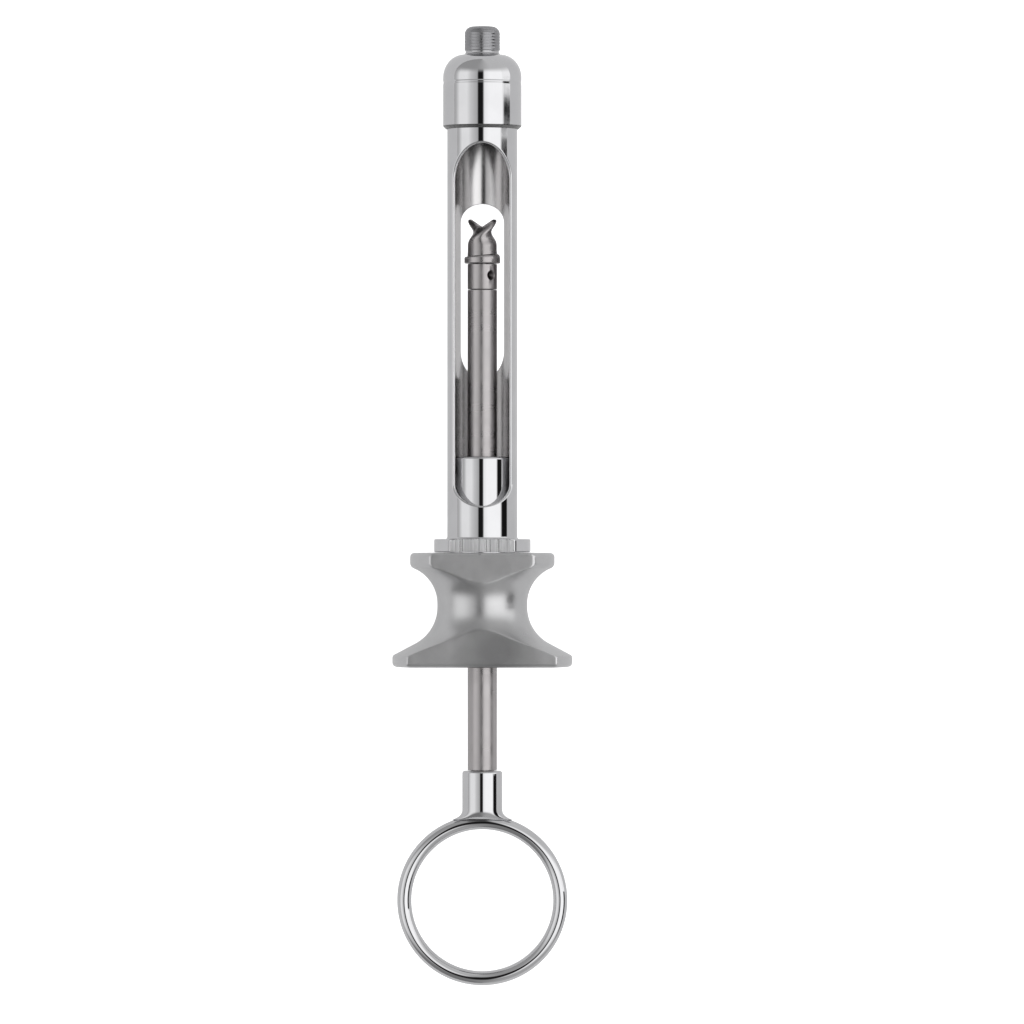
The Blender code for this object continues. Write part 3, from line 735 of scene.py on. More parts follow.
def mark_barrel(obj, flats, bored, walls):
    """Give the flange's two flats, the bore and the windows' walls materials of their own. The walls'
    lighter copy of the bore's chrome is painted light.
    """
    for material in (flats, bored, walls):
        obj.data.materials.append(material)
    for face in obj.data.polygons:
        on_flange = FLANGE_BOTTOM < face.center.y < FLANGE_TOP + FLANGE_FILLET
        out = Vector((face.center.x, 0.0, face.center.z - AXIS_HEIGHT)).normalized()
        outward = face.normal.dot(out)
        if on_flange and abs(face.normal.z) > 0.999:
            face.material_index = 1
        elif WINDOWED_FROM < face.center.y < WINDOWED_TO and outward < 0.4:
            face.material_index = 2 if outward < -0.95 else 3


# ---------------------------------------------------------------- head cap and needle hub

CAP_R = radius("head_cap")
CAP_BOTTOM, DOME_TOP = ends("head_cap")
CHAMBER_TOP = 72.5 * MM
CHAMBER_SEAT = 72.3 * MM
DOME_SHOULDER_R = 3.2 * MM
DOME_HEIGHT = 3.85 * MM
STEM_HOLE_R = 2.6 * MM
CREASE = (70.5 * MM, 0.36 * MM, 0.07 * MM)  # a faint groove: its station, half height and depth
CAP_EDGE = 0.3 * MM  # rounding above the cap's chamfer
CAP_CHAMFER = 0.36 * MM
CAP_FOOT = 0.12 * MM  # rounding below the chamfer
SEAM_HEIGHT = 0.62 * MM  # of the cap's lower edge that is painted dark, a painted shade in the seam
HUB_BOTTOM, HUB_TOP = ends("needle_hub")
HUB_R = radius("needle_hub")
HUB_EDGE = 1.3 * MM
HUB_HOLE_R = 0.75 * MM
HUB_HOLE_EDGE = 0.15 * MM
STEM_R = 2.5 * MM
THREAD_PITCH = 0.5 * MM
THREAD_DEPTH = 0.04 * MM
THREAD_CREST = 0.8  # the smaller, the broader the crests
THREAD_TOP, THREAD_TOP_FADE = HUB_TOP - 0.5 * MM, 0.8 * MM
THREAD_LOW, THREAD_LOW_FADE = HUB_TOP - 3.8 * MM, 0.4 * MM
NECK_TOP = DOME_TOP + 0.75 * MM
NECK_BOTTOM = DOME_TOP + 0.1 * MM
NECK_CURVE = ((0.1, 0.66), (0.17, 0.5), (0.14, 0.3), (0.05, 0.18))  # mm in, and mm above the dome


def build_head_cap():
    """A dome over a chamfered lower edge, with the spigot that centres the cap in the bore."""
    seat_r, spigot_r = BARREL_R + 0.1 * MM, BORE_R - 0.1 * MM
    half = radians(45)
    foot_r = CAP_R - CAP_EDGE * (1 - cos(half)) - CAP_CHAMFER - CAP_FOOT * cos(half)
    edge_z = CAP_BOTTOM + CAP_FOOT * (1 - sin(half)) + CAP_CHAMFER + CAP_EDGE * sin(half)
    dome = (CAP_R - DOME_SHOULDER_R, DOME_HEIGHT)
    profile = Profile(STEM_HOLE_R, DOME_TOP).to(DOME_SHOULDER_R, DOME_TOP)
    profile.arc((DOME_SHOULDER_R, DOME_TOP - DOME_HEIGHT), dome, 90, 0, 22)
    profile.wave(CAP_R, *CREASE)
    profile.arc((CAP_R - CAP_EDGE, edge_z), (CAP_EDGE,) * 2, 0, -45, 6)
    profile.arc((foot_r, CAP_BOTTOM + CAP_FOOT), (CAP_FOOT,) * 2, -45, -90, 4)
    profile.to(seat_r, CAP_BOTTOM).to(seat_r, CHAMBER_TOP)
    profile.to(spigot_r, CHAMBER_TOP).to(spigot_r, CHAMBER_SEAT)
    profile.to(STEM_HOLE_R, CHAMBER_SEAT).to(STEM_HOLE_R, DOME_TOP)
    return turned_mesh("head_cap", profile)


def mark_seam_shade(obj, material):
    """Give the cap's chamfered lower edge its own, darker material: a painted shade in the seam between
    the cap and the barrel.
    """
    obj.data.materials.append(material)
    for face in obj.data.polygons:
        if face.center.y < CAP_BOTTOM + SEAM_HEIGHT and face.normal.y < -0.1:
            face.material_index = 1


def build_needle_hub():
    """A shallow helical thread that fades out at its ends, a neck, a stem and a hole."""
    angles, rings = around(), []
    for z in np.linspace(HUB_TOP, THREAD_LOW, 150):
        depth_in_edge = max(0.0, z - (HUB_TOP - HUB_EDGE))
        core = HUB_R - HUB_EDGE + sqrt(max(0.0, HUB_EDGE**2 - depth_in_edge**2))
        phase = (z / THREAD_PITCH + angles / (2 * pi)) % 1.0
        crest = (0.5 - 0.5 * np.cos(2 * pi * phase)) ** THREAD_CREST
        top_fade = max(0.0, (THREAD_TOP - z) / THREAD_TOP_FADE)
        fade = min(1.0, top_fade, (z - THREAD_LOW) / THREAD_LOW_FADE)
        rings.append(circle(core - THREAD_DEPTH * fade * (1 - crest), z, angles))
    neck = [(HUB_R - inward * MM, DOME_TOP + height * MM) for inward, height in NECK_CURVE]
    stem = [(HUB_R, NECK_BOTTOM), (STEM_R, NECK_BOTTOM), (STEM_R, HUB_BOTTOM)]
    hole = [(HUB_HOLE_R, HUB_BOTTOM), (HUB_HOLE_R, HUB_TOP - HUB_HOLE_EDGE)]
    hole.append((HUB_HOLE_R + HUB_HOLE_EDGE, HUB_TOP))
    rings += [circle(r, z, angles) for r, z in [(HUB_R, NECK_TOP)] + neck + stem + hole]
    return lofted_mesh("needle_hub_look", rings, 35, looped=True)


def mark_neck_highlight(obj, material):
    """Give the smooth neck below the thread its own material: smoother, and lighter in colour as a painted
    highlight.
    """
    obj.data.materials.append(material)
    for face in obj.data.polygons:
        if DOME_TOP < face.center.y < NECK_TOP:
            face.material_index = 1


# ---------------------------------------------------------------- finger grip

GRIP_BOTTOM, GRIP_TOP = ends("finger_grip")
GRIP_R = radius("finger_grip")
GRIP_FLAT = AXIS_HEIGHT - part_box("finger_grip")[0].z
WAIST_R = 7.5 * MM
UPPER_RIM_R = 12.05 * MM
GRIP_SOFTNESS = 0.3 * MM
FLAT_TOP_EDGE = 0.3 * MM
FLAT_BOTTOM_EDGE = 0.75 * MM
UPPER_RIM_EDGE = 0.7 * MM
UPPER_RIM_FOOT, UPPER_RIM_FOOT_Z = 1.0 * MM, -9.47 * MM  # rounding below the upper rim
UPPER_WAIST, UPPER_WAIST_Z = 6.4 * MM, -16.3 * MM  # radius of the waist's hollow and its station
LOWER_WAIST, LOWER_WAIST_Z = 6.9 * MM, -16.8 * MM
FLANK_TOP, FLANK_BOTTOM = (11.16 * MM, -22.89 * MM), (14.68 * MM, -24.76 * MM)
LOWER_RIM_TOP, LOWER_RIM_TOP_Z = 0.6 * MM, -25.29 * MM  # rounding above the lower rim
LOWER_RIM_EDGE = 0.7 * MM
CHAMBER_R, CHAMBER_FLOOR = 5.6 * MM, -24.9 * MM
BUSH_HOLE_R = 3.5 * MM


def grip_offset(z):
    """Offset of the flats at a station, rounded off at the grip's ends, and its slope."""
    for size, depth, way in ((FLAT_TOP_EDGE, GRIP_TOP - z, 1), (FLAT_BOTTOM_EDGE, z - GRIP_BOTTOM, -1)):
        if depth < size:
            rise = size - max(depth, 0.02 * size)
            run = sqrt(size**2 - rise**2)
            return GRIP_FLAT - size + run, -way * rise / run
    return GRIP_FLAT, 0.0


def build_finger_grip():
    """A spool with a hollow waist, milled flat in front and behind, over the spring's chamber."""
    shell = Shell("finger_grip_look")
    outer = Profile(CHAMBER_R, GRIP_TOP)
    outer.round((UPPER_RIM_R, GRIP_TOP), UPPER_RIM_EDGE, 90, 0, 10)
    outer.arc((UPPER_RIM_R - UPPER_RIM_FOOT, UPPER_RIM_FOOT_Z), (UPPER_RIM_FOOT,) * 2, 0, -67.3, 10)
    outer.arc((WAIST_R + UPPER_WAIST, UPPER_WAIST_Z), (UPPER_WAIST,) * 2, 112.7, 180, 34)
    outer.arc((WAIST_R + LOWER_WAIST, LOWER_WAIST_Z), (LOWER_WAIST,) * 2, 180, 242, 34)
    for share in (0.25, 0.5, 0.75):
        outer.to(*[a + (b - a) * share for a, b in zip(FLANK_TOP, FLANK_BOTTOM)])
    outer.arc((GRIP_R - LOWER_RIM_TOP, LOWER_RIM_TOP_Z), (LOWER_RIM_TOP,) * 2, 62, 0, 8)
    outer.round((GRIP_R, GRIP_BOTTOM), LOWER_RIM_EDGE, 0, -90, 12)
    outer.to(BUSH_HOLE_R, GRIP_BOTTOM)

    def angles_at(r, offset):
        return quarter_turns(milled_quarter(r, offset, GRIP_SOFTNESS, 16, 8, 22))

    milled(shell, outer, grip_offset, GRIP_SOFTNESS, angles_at)
    inner = Profile(BUSH_HOLE_R, GRIP_BOTTOM).to(BUSH_HOLE_R, CHAMBER_FLOOR)
    inner.to(CHAMBER_R, CHAMBER_FLOOR).to(CHAMBER_R, GRIP_TOP)
    turned(shell, inner, angles_at(BUSH_HOLE_R, grip_offset(GRIP_BOTTOM)[0]))
    return shell.mesh()


# ---------------------------------------------------------------- guide sleeve and what it holds

GUIDE_BOTTOM, GUIDE_TOP = ends("guide_sleeve")
GUIDE_R = BORE_R - 0.05 * MM
GUIDE_MOUTH_R = 3.35 * MM
GUIDE_MOUTH_EDGE = 0.25 * MM
GUIDE_LIP = 0.45 * MM
GUIDE_FLANGE_R = 5.4 * MM
GUIDE_FLANGE_TOP = GUIDE_BOTTOM + 1.5 * MM
GUIDE_FLANGE_EDGE = 0.15 * MM
WEB_TOP, WEB_BOTTOM = -6.0 * MM, -7.5 * MM  # of the wall between the bore and the cup
WEB_HOLE_R = 2.55 * MM
CUP_R = 3.95 * MM
BUSH_R = 2.5 * MM  # inside, where the rod runs
WASHER_R = 2.65 * MM  # inside


def build_guide_sleeve():
    """A bore that holds the bush and the rubber ring, a web, and a cup for the spring below it."""
    mouth = (GUIDE_MOUTH_R + GUIDE_MOUTH_EDGE, GUIDE_TOP - GUIDE_MOUTH_EDGE)
    profile = Profile(mouth[0], GUIDE_TOP)
    profile.round((GUIDE_R, GUIDE_TOP), GUIDE_LIP, 90, 0, 8)
    profile.to(GUIDE_R, GUIDE_FLANGE_TOP)
    profile.round((GUIDE_FLANGE_R, GUIDE_FLANGE_TOP), GUIDE_FLANGE_EDGE, 90, 0, 3)
    profile.round((GUIDE_FLANGE_R, GUIDE_BOTTOM), GUIDE_FLANGE_EDGE, 0, -90, 3)
    profile.to(CUP_R, GUIDE_BOTTOM).to(CUP_R, WEB_BOTTOM).to(WEB_HOLE_R, WEB_BOTTOM)
    profile.to(WEB_HOLE_R, WEB_TOP).to(GUIDE_MOUTH_R, WEB_TOP).to(GUIDE_MOUTH_R, mouth[1])
    profile.arc(mouth, (GUIDE_MOUTH_EDGE,) * 2, 180, 90, 6)
    return turned_mesh("guide_sleeve", profile)


def bushing(node, inner, edge, ledge=()):
    """A plain bush with rounded edges. ledge lists (radius, station) points on its outside."""
    bottom, top = ends(node)
    low_r = ledge[-1][0] if ledge else radius(node)
    profile = Profile(inner + edge, top)
    profile.round((radius(node), top), edge, 90, 0, 4)
    for r, z in ledge:
        profile.to(r, z)
    profile.round((low_r, bottom), edge, 0, -90, 4)
    profile.arc((inner + edge, bottom + edge), (edge, edge), 270, 180, 4)
    profile.arc((inner + edge, top - edge), (edge, edge), 180, 90, 4)
    return turned_mesh(node, profile)


def build_guide_bush():
    return bushing("guide_bush", BUSH_R, 0.12 * MM)


def build_rear_bush():
    neck_r, flange_bottom = 3.4 * MM, ends("rear_bush")[1] - 0.7 * MM
    ledge = ((radius("rear_bush"), flange_bottom), (neck_r, flange_bottom))
    return bushing("rear_bush", BUSH_R, 0.15 * MM, ledge)


def build_spring_washer():
    return bushing("spring_washer", WASHER_R, 0.12 * MM)


def build_friction_ring():
    bottom, top = ends("friction_ring")
    size = (top - bottom) / 2
    middle_r = radius("friction_ring") - size
    profile = Profile(middle_r, top)
    profile.arc((middle_r, (top + bottom) / 2), (size, size), 90, -270, 24)
    return turned_mesh("friction_ring", profile)


def section(centre, r, across, up, sides):
    """A round section with its points turned from across towards up."""
    angles = [2 * pi * k / sides for k in range(sides)]
    return [centre + r * (cos(a) * across + sin(a) * up) for a in angles]


def build_return_spring():
    """A round wire along an even helix."""
    bottom, top = ends("return_spring")
    wire_r, coil_r, turns, per_turn = 0.4 * MM, 3.3 * MM, 8, 48
    low, high = bottom + wire_r, top - wire_r
    rings = []
    count = turns * per_turn
    rise = (high - low) / count / (2 * pi / per_turn)
    for i in range(count + 1):
        angle = 2 * pi * i / per_turn
        out = Vector((cos(angle), sin(angle), 0))
        centre = Vector((coil_r * cos(angle), coil_r * sin(angle), low + (high - low) * i / count))
        along = Vector((-coil_r * sin(angle), coil_r * cos(angle), rise)).normalized()
        up = along.cross(out).normalized() * -1
        rings.append(section(centre, wire_r, out, up, 16))
    return lofted_mesh("return_spring_look", rings, 60)


# ---------------------------------------------------------------- plunger

ROD_BOTTOM = -44.0 * MM
ROD_TOP = ends("plunger_rod")[1]
ROD_R = radius("plunger_rod")
ROD_EDGE = 0.08 * MM
ROD_GAP = 0.1 * MM  # the seam between the rod and the harpoon's socket
CROSS_HOLE_ANGLE = radians(38)
CROSS_HOLE_STATION = 38.4 * MM
CROSS_HOLE_R = 0.7 * MM
COUNTERSINK = 0.14 * MM


def studded(node, top, foot, hole_r, hole_depth, stud_r):
    """A length of rod with a blind hole in its top and a stud below its foot."""
    bottom, hole_floor = ends(node)[0], top - hole_depth
    profile = Profile(0.0, hole_floor).to(hole_r, hole_floor).to(hole_r, top)
    profile.round((ROD_R, top), ROD_EDGE, 90, 0, 4)
    profile.round((ROD_R, foot), ROD_EDGE, 0, -90, 4)
    profile.to(stud_r, foot).to(stud_r, bottom).to(0.0, bottom)
    return turned_mesh(node, profile)


def build_plunger_rod():
    return studded("plunger_rod", ROD_TOP, ROD_BOTTOM, 1.4 * MM, 4.0 * MM, 1.9 * MM)


def build_harpoon_socket():
    top, foot = ends("harpoon_socket")[1], ROD_TOP + ROD_GAP
    return studded("harpoon_socket", top, foot, 1.1 * MM, 3.4 * MM, 1.3 * MM)


def drill_socket(obj):
    """The cross hole, with a small countersink at each mouth."""
    mouth_r = CROSS_HOLE_R + COUNTERSINK
    half = (
        (ROD_R + 1.0 * MM, mouth_r + 1.0 * MM),
        (ROD_R - 0.02 * MM, mouth_r),
        (ROD_R - COUNTERSINK - 0.12 * MM, CROSS_HOLE_R),
    )
    steps = [(-along, r) for along, r in half] + list(reversed(half))
    out, up = Vector((sin(CROSS_HOLE_ANGLE), -cos(CROSS_HOLE_ANGLE), 0)), Vector((0, 0, 1))
    middle = Vector((0, 0, CROSS_HOLE_STATION))
    rings = [section(middle + along * out, r, up.cross(out), up, 48) for along, r in steps]
    cut_away(obj, lofted_mesh("cross_hole", rings), 30)


COLLAR_R = radius("harpoon")
COLLAR_BOTTOM = 40.4 * MM
COLLAR_TOP = 41.8 * MM
COLLAR_BOTTOM_EDGE = 0.2 * MM
COLLAR_TOP_EDGE = 0.5 * MM
COLLAR_SLANT = 0.1  # rise of the collar's upper edge across the harpoon
HARPOON_BOTTOM, HARPOON_TIP = ends("harpoon")
HARPOON_STUD_R = 1.0 * MM
TWIST_START = 42.6 * MM
FLATTEN_FROM, FLATTEN_OVER = 0.12, 0.66  # shares of the blade's length
BLADE_HALF_WIDTH = 2.42 * MM
BLADE_HALF_THICKNESS = 1.2 * MM
BLADE_STEPS = 64
NOTCH_DEPTH = 1.25 * MM
NOTCH_HALF_WIDTH = 1.8 * MM
TIP_EDGE = 0.35 * MM
TIP_EDGE_SHARE = 0.97  # how far round the tip's edge goes, so that it keeps a small flat


def harpoon_ring(half_width, half_thickness, twist, z, slant=0.0):
    """An elliptic section that is turned by twist, with its points at even angles to it."""
    sides, points = 96, []
    for i in range(sides):
        angle = 2 * pi * i / sides - twist
        x, y = half_width * cos(angle), half_thickness * sin(angle)
        px, py = x * cos(twist) - y * sin(twist), x * sin(twist) + y * cos(twist)
        points.append((px, py, z + slant * px))
    return points


def build_harpoon():
    """A stud, a rounded collar and a flattened blade that turns half round to its two barbs."""
    rings = [harpoon_ring(HARPOON_STUD_R, HARPOON_STUD_R, 0.0, z) for z in (HARPOON_BOTTOM, COLLAR_BOTTOM)]
    for i in range(5):
        a = radians(-90 + 90 * i / 4)
        r = COLLAR_R - COLLAR_BOTTOM_EDGE * (1 - cos(a))
        rings.append(harpoon_ring(r, r, 0.0, COLLAR_BOTTOM + COLLAR_BOTTOM_EDGE * (1 + sin(a))))
    for i in range(7):
        a = radians(90 * i / 6)
        r = COLLAR_R - COLLAR_TOP_EDGE * (1 - cos(a))
        z = COLLAR_TOP - COLLAR_TOP_EDGE * (1 - sin(a))
        rings.append(harpoon_ring(r, r, 0.0, z, COLLAR_SLANT * i / 6))
    length = HARPOON_TIP - TWIST_START
    for i in range(BLADE_STEPS + 1):
        share = i / BLADE_STEPS
        late = min(1.0, max(0.0, (share - FLATTEN_FROM) / FLATTEN_OVER))
        flatten = late**2 * (3 - 2 * late)
        thickness = BLADE_HALF_WIDTH + (BLADE_HALF_THICKNESS - BLADE_HALF_WIDTH) * flatten
        z = TWIST_START + length * share
        depth_in_edge = max(0.0, z - (HARPOON_TIP - TIP_EDGE)) * TIP_EDGE_SHARE
        inset = TIP_EDGE - sqrt(TIP_EDGE**2 - depth_in_edge**2)
        twist = -pi * (1 - share)
        rings.append(harpoon_ring(BLADE_HALF_WIDTH - inset, thickness - inset, twist, z))
    return lofted_mesh("harpoon_look", rings, 50)


def notch_harpoon(obj):
    """The V between the two barbs."""
    reach = 2 * BLADE_HALF_WIDTH
    low = HARPOON_TIP - NOTCH_DEPTH
    high = low + reach * NOTCH_DEPTH / NOTCH_HALF_WIDTH
    corners = [(0.0, low), (reach, high), (-reach, high)]
    rings = [[(x, y, z) for x, z in corners] for y in (-reach, reach)]
    cut_away(obj, lofted_mesh("notch", rings), 40)


RING_CENTRE = -65.7 * MM
RING_MEAN_R = 13.0 * MM
RING_HALF_WIDTH = 1.2 * MM
RING_HALF_DEPTH = 1.5 * MM
SOCKET_EDGE = 0.45 * MM
SOCKET_HOLE_R = 2.0 * MM
SOCKET_HOLE_FLOOR = -50.1 * MM
FLARE_TOP, FLARE_FOOT = -50.3 * MM, -52.3 * MM
FLARE_WIDTH = 1.75 * MM  # how far the foot grows along the ring, and how fast it does
FLARE_WIDTH_POWER = 3.2
FLARE_DEPTH_SHARE = 0.8  # of the ring's half depth, where the foot ends
FLARE_DEPTH_POWER = 2.6


def build_thumb_ring():
    """A ring of elliptic section, turned about the line through its middle to the front."""
    shell = Shell("thumb_ring_look")
    angles = around(192)
    s, c = np.sin(angles), np.cos(angles)
    rings = []
    for a in np.linspace(0, 2 * pi, 49):
        r = RING_MEAN_R + RING_HALF_WIDTH * cos(a)
        y = RING_HALF_DEPTH * sin(a)
        n = np.array((cos(a) / RING_HALF_WIDTH, sin(a) / RING_HALF_DEPTH))
        n /= np.linalg.norm(n)
        places = np.stack((r * s, np.full_like(s, y), RING_CENTRE + r * c), 1)
        rings.append((places, np.stack((n[0] * s, np.full_like(s, n[1]), n[0] * c), 1)))
    for (ring_a, normals_a), (ring_b, normals_b) in zip(rings, rings[1:]):
        shell.strip(ring_a, normals_a, ring_b, normals_b)
    return shell.mesh()


def build_ring_socket():
    """A ferrule with a rounded top. Its foot flares along the ring and narrows across it."""
    r, top = radius("ring_socket"), ends("ring_socket")[1]
    angles = around(96)

    def ring(half_width, half_depth, z):
        return np.stack((half_width * np.sin(angles), -half_depth * np.cos(angles), np.full(96, z)), 1)

    rings = [ring(SOCKET_HOLE_R, SOCKET_HOLE_R, z) for z in (SOCKET_HOLE_FLOOR, top)]
    for i in range(8):
        a = radians(90 - 90 * i / 7)
        edge_r = r - SOCKET_EDGE * (1 - cos(a))
        rings.append(ring(edge_r, edge_r, top - SOCKET_EDGE * (1 - sin(a))))
    foot_depth = RING_HALF_DEPTH * FLARE_DEPTH_SHARE
    for i in range(1, 25):
        share = i / 24
        width = r + FLARE_WIDTH * share**FLARE_WIDTH_POWER
        depth = r - (r - foot_depth) * (1 - sqrt(max(0.0, 1 - share**FLARE_DEPTH_POWER)))
        rings.append(ring(width, depth, FLARE_TOP + (FLARE_FOOT - FLARE_TOP) * share))
    return lofted_mesh("ring_socket_look", rings, 45)


# ---------------------------------------------------------------- the pieces

BARREL = "barrel_assembly"

# Each piece: its CAD node, the mesh, the body it moves with, the slot and the material.
PIECES = (
    ("barrel", build_barrel, BARREL, "chrome", chrome("barrel_chrome")),
    ("head_cap", build_head_cap, BARREL, "chrome", chrome("head_cap_chrome")),
    ("needle_hub", build_needle_hub, BARREL, "matt_nickel", matt_nickel("needle_hub_nickel")),
    ("finger_grip", build_finger_grip, BARREL, "blasted_chrome", blasted("finger_grip_blasted")),
    ("rear_bush", build_rear_bush, BARREL, "brass", brass("rear_bush_brass")),
    ("spring_washer", build_spring_washer, BARREL, "spring_steel", spring_steel("spring_washer_steel")),
    ("return_spring", build_return_spring, BARREL, "spring_steel", spring_steel("return_spring_steel")),
    ("guide_sleeve", build_guide_sleeve, "guide", "chrome", chrome("guide_sleeve_chrome")),
    ("friction_ring", build_friction_ring, "guide", "black_rubber", rubber("friction_ring_rubber")),
    ("guide_bush", build_guide_bush, "rod_bearing", "brass", brass("guide_bush_brass")),
    ("plunger_rod", build_plunger_rod, "plunger", "satin_steel", satin("plunger_rod_satin")),
    ("harpoon_socket", build_harpoon_socket, "plunger", "satin_steel", satin("harpoon_socket_satin")),
    ("harpoon", build_harpoon, "plunger", "satin_steel", satin("harpoon_satin", roughness=0.27)),
    ("ring_socket", build_ring_socket, "plunger", "chrome", chrome("ring_socket_chrome")),
    ("thumb_ring", build_thumb_ring, "plunger", "chrome", chrome("thumb_ring_chrome")),
)
pieces = {node: add_piece(node, build(), *rest) for node, build, *rest in PIECES}
mark_barrel(
    pieces["barrel"],
    milled_chrome("flange_flats_chrome"),
    bored_chrome("bore_chrome"),
    # the windows' walls: the bore's chrome made rougher, and lighter as painted light that lifts the shade
    # in the windows
    bored_chrome("window_wall_painted_light_chrome", (0.85, 0.85, 0.86), 0.6),
)
# the cap's lower edge gets a dark material: painted shade in the seam
mark_seam_shade(pieces["head_cap"], painted_seam_shade("head_cap_painted_seam_shade"))
# the neck: a smoother finish, and a lighter colour that is a painted highlight
mark_neck_highlight(pieces["needle_hub"], matt_nickel("needle_hub_neck_painted_highlight", (0.44, 0.44, 0.45), 0.18))
drill_socket(pieces["harpoon_socket"])
notch_harpoon(pieces["harpoon"])

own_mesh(pieces["return_spring"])

# ---------------------------------------------------------------- floor, light and camera


FLOOR_SIZE = 2.0
FLOOR_COLOUR = (0.45, 0.45, 0.455, 1)
FLOOR_GLOW = 0.46  # makes up for the light that a plain white backdrop would get
FLOOR_SEEN_GLOW = 0.6  # more, for the camera only, so that the backdrop is as white as paper


def add_floor():
    bm = bmesh.new()
    bmesh.ops.create_grid(bm, x_segments=8, y_segments=8, size=FLOOR_SIZE)
    mesh = bpy.data.meshes.new("floor")
    bm.to_mesh(mesh)
    bm.free()
    floor = bpy.data.objects.new("floor", mesh)
    bpy.context.scene.collection.objects.link(floor)
    material = bpy.data.materials.new("floor_white")
    material.use_nodes = True
    nodes, links = material.node_tree.nodes, material.node_tree.links
    shader = nodes["Principled BSDF"]
    shader.inputs["Base Color"].default_value = FLOOR_COLOUR
    shader.inputs["Roughness"].default_value = 0.9
    shader.inputs["Specular IOR Level"].default_value = 0.0
    shader.inputs["Emission Color"].default_value = (1, 1, 1, 1)
    shader.inputs["Emission Strength"].default_value = FLOOR_GLOW
    glow = nodes.new("ShaderNodeEmission")
    glow.inputs["Strength"].default_value = FLOOR_SEEN_GLOW
    both = nodes.new("ShaderNodeAddShader")
    links.new(shader.outputs["BSDF"], both.inputs[0])
    links.new(glow.outputs["Emission"], both.inputs[1])
    seen = nodes.new("ShaderNodeMixShader")
    links.new(nodes.new("ShaderNodeLightPath").outputs["Is Camera Ray"], seen.inputs["Fac"])
    links.new(shader.outputs["BSDF"], seen.inputs[1])
    links.new(both.outputs["Shader"], seen.inputs[2])
    links.new(seen.outputs["Shader"], nodes["Material Output"].inputs["Surface"])
    mesh.materials.append(material)


# What the studio looks like from the object, as brightness by azimuth about the syringe's
# axis: 0 is straight up and 90 is to the right. The camera's side is dark, with softboxes
# beside it.
STUDIO = (
    (-180, 0.9), (-110, 0.85), (-92, 0.75), (-82, 0.95), (-70, 1.62), (-46, 1.66), (-34, 1.22),
    (-18, 0.9), (-14.5, 0.8), (-11.5, 0.02), (2, 0.02), (6.5, 1.8), (20, 2.08), (60, 2.08),
    (63, 1.8), (68, 0.015), (87, 0.015), (92, 0.85), (100, 0.95), (180, 0.9),
)
# Brightness beyond the needle end and beyond the ring end, each on the left and on the right.
END_GLOW = ((0.6, 1.05), (0.36, 0.75))
END_FROM, END_FULL = 0.25, 0.62  # shares of Y where the ends begin and where they are full
LEFT_TO_RIGHT = (-25, 35)  # azimuths between which the left turns into the right
RIGHT_FLAG = (62, 96)  # azimuths of the dark flag on the right
FLAG_FADES = (2, 4)
FLAG_GAPS = ((0.0516, 0.0530), (0.0574, 2.0))  # shares of +Y where a white card hides the flag
GAP_EDGE = 0.0005
GAP_GLOW = 1.9
BACKDROP = (0.97, 0.97, 0.975, 1)


class Studio(NodeMaker):
    """Nodes of the world's light."""

    def step(self, value, low, high):
        node = self.nodes.new("ShaderNodeMapRange")
        node.interpolation_type = "SMOOTHSTEP"
        node.inputs["From Min"].default_value = low
        node.inputs["From Max"].default_value = high
        self.links.new(value, node.inputs["Value"])
        return node.outputs["Result"]

    def blend(self, factor, a, b):
        node = self.nodes.new("ShaderNodeMix")
        node.data_type = "FLOAT"
        self.feed(node.inputs[MIX_FACTOR], factor)
        self.feed(node.inputs[MIX_VALUE_A], a)
        self.feed(node.inputs[MIX_VALUE_B], b)
        return node.outputs[MIX_VALUE_OUT]

    def glow_by_azimuth(self, azimuth):
        ramp = self.nodes.new("ShaderNodeValToRGB")
        stops = ramp.color_ramp.elements
        while len(stops) < len(STUDIO):
            stops.new(0.5)
        for stop, (angle, value) in zip(stops, STUDIO):
            stop.position = (angle + 180) / 360
            stop.color = (value, value, value, 1)
        self.links.new(self.maths("ADD", self.maths("DIVIDE", azimuth, 2 * pi), 0.5), ramp.inputs["Fac"])
        grey = self.nodes.new("ShaderNodeRGBToBW")
        self.links.new(ramp.outputs["Color"], grey.inputs["Color"])
        return grey.outputs["Val"]

    def flag(self, azimuth):
        """1 on the dark flag and 0 elsewhere."""
        (first, last), (first_fade, last_fade) = RIGHT_FLAG, FLAG_FADES
        back = self.maths("MULTIPLY", azimuth, -1.0)
        return self.maths(
            "MULTIPLY",
            self.step(azimuth, radians(first), radians(first + first_fade)),
            self.step(back, -radians(last), -radians(last - last_fade)),
        )


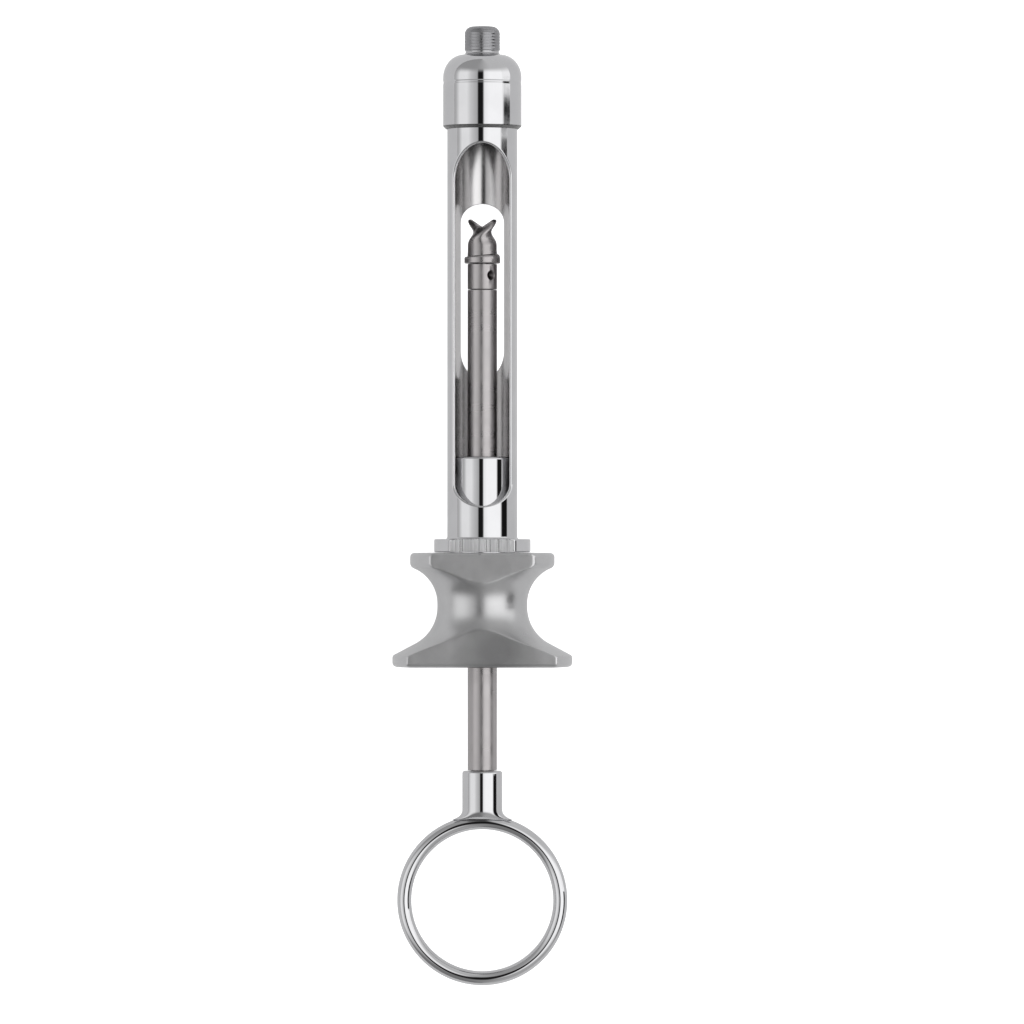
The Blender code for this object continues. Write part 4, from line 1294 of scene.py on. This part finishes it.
def add_studio():
    world = bpy.data.worlds.new("studio")
    bpy.context.scene.world = world
    world.use_nodes = True
    nodes, links = world.node_tree.nodes, world.node_tree.links
    nodes.clear()
    studio = Studio(world.node_tree)
    split = nodes.new("ShaderNodeSeparateXYZ")
    links.new(nodes.new("ShaderNodeTexCoord").outputs["Generated"], split.inputs["Vector"])
    along = split.outputs["Y"]
    azimuth = studio.maths("ARCTAN2", split.outputs["X"], split.outputs["Z"])
    glow = studio.glow_by_azimuth(azimuth)
    on_flag = studio.flag(azimuth)
    for low, high in FLAG_GAPS:
        past_low = studio.step(along, low, low + GAP_EDGE)
        gap = studio.maths("SUBTRACT", past_low, studio.step(along, high, high + GAP_EDGE))
        glow = studio.blend(studio.maths("MULTIPLY", on_flag, gap), glow, GAP_GLOW)
    on_right = studio.step(azimuth, *[radians(angle) for angle in LEFT_TO_RIGHT])
    for way, (left, right) in zip((1.0, -1.0), END_GLOW):
        at_end = studio.step(studio.maths("MULTIPLY", along, way), END_FROM, END_FULL)
        glow = studio.blend(at_end, glow, studio.blend(on_right, left, right))

    lit = nodes.new("ShaderNodeBackground")
    links.new(glow, lit.inputs["Strength"])
    plain = nodes.new("ShaderNodeBackground")
    plain.inputs["Color"].default_value = BACKDROP
    mix = nodes.new("ShaderNodeMixShader")
    links.new(nodes.new("ShaderNodeLightPath").outputs["Is Camera Ray"], mix.inputs["Fac"])
    links.new(lit.outputs["Background"], mix.inputs[1])
    links.new(plain.outputs["Background"], mix.inputs[2])
    out = nodes.new("ShaderNodeOutputWorld")
    links.new(mix.outputs["Shader"], out.inputs["Surface"])


CAMERA_PLACE = (4.95 * MM, -1.0 * MM)
CAMERA_HEIGHT = 1.2
VIEW_WIDTH = 170.67 * MM  # at the height of the syringe's axis
SENSOR = 36.0


def add_camera():
    data = bpy.data.cameras.new("camera")
    data.sensor_width = SENSOR
    data.lens = SENSOR * CAMERA_HEIGHT / VIEW_WIDTH
    data.clip_end = 20.0
    camera = bpy.data.objects.new("camera", data)
    camera.location = (*CAMERA_PLACE, AXIS_HEIGHT + CAMERA_HEIGHT)
    bpy.context.scene.collection.objects.link(camera)
    bpy.context.scene.camera = camera


add_floor()
add_studio()
add_camera()
bpy.context.scene.view_settings.view_transform = "Standard"
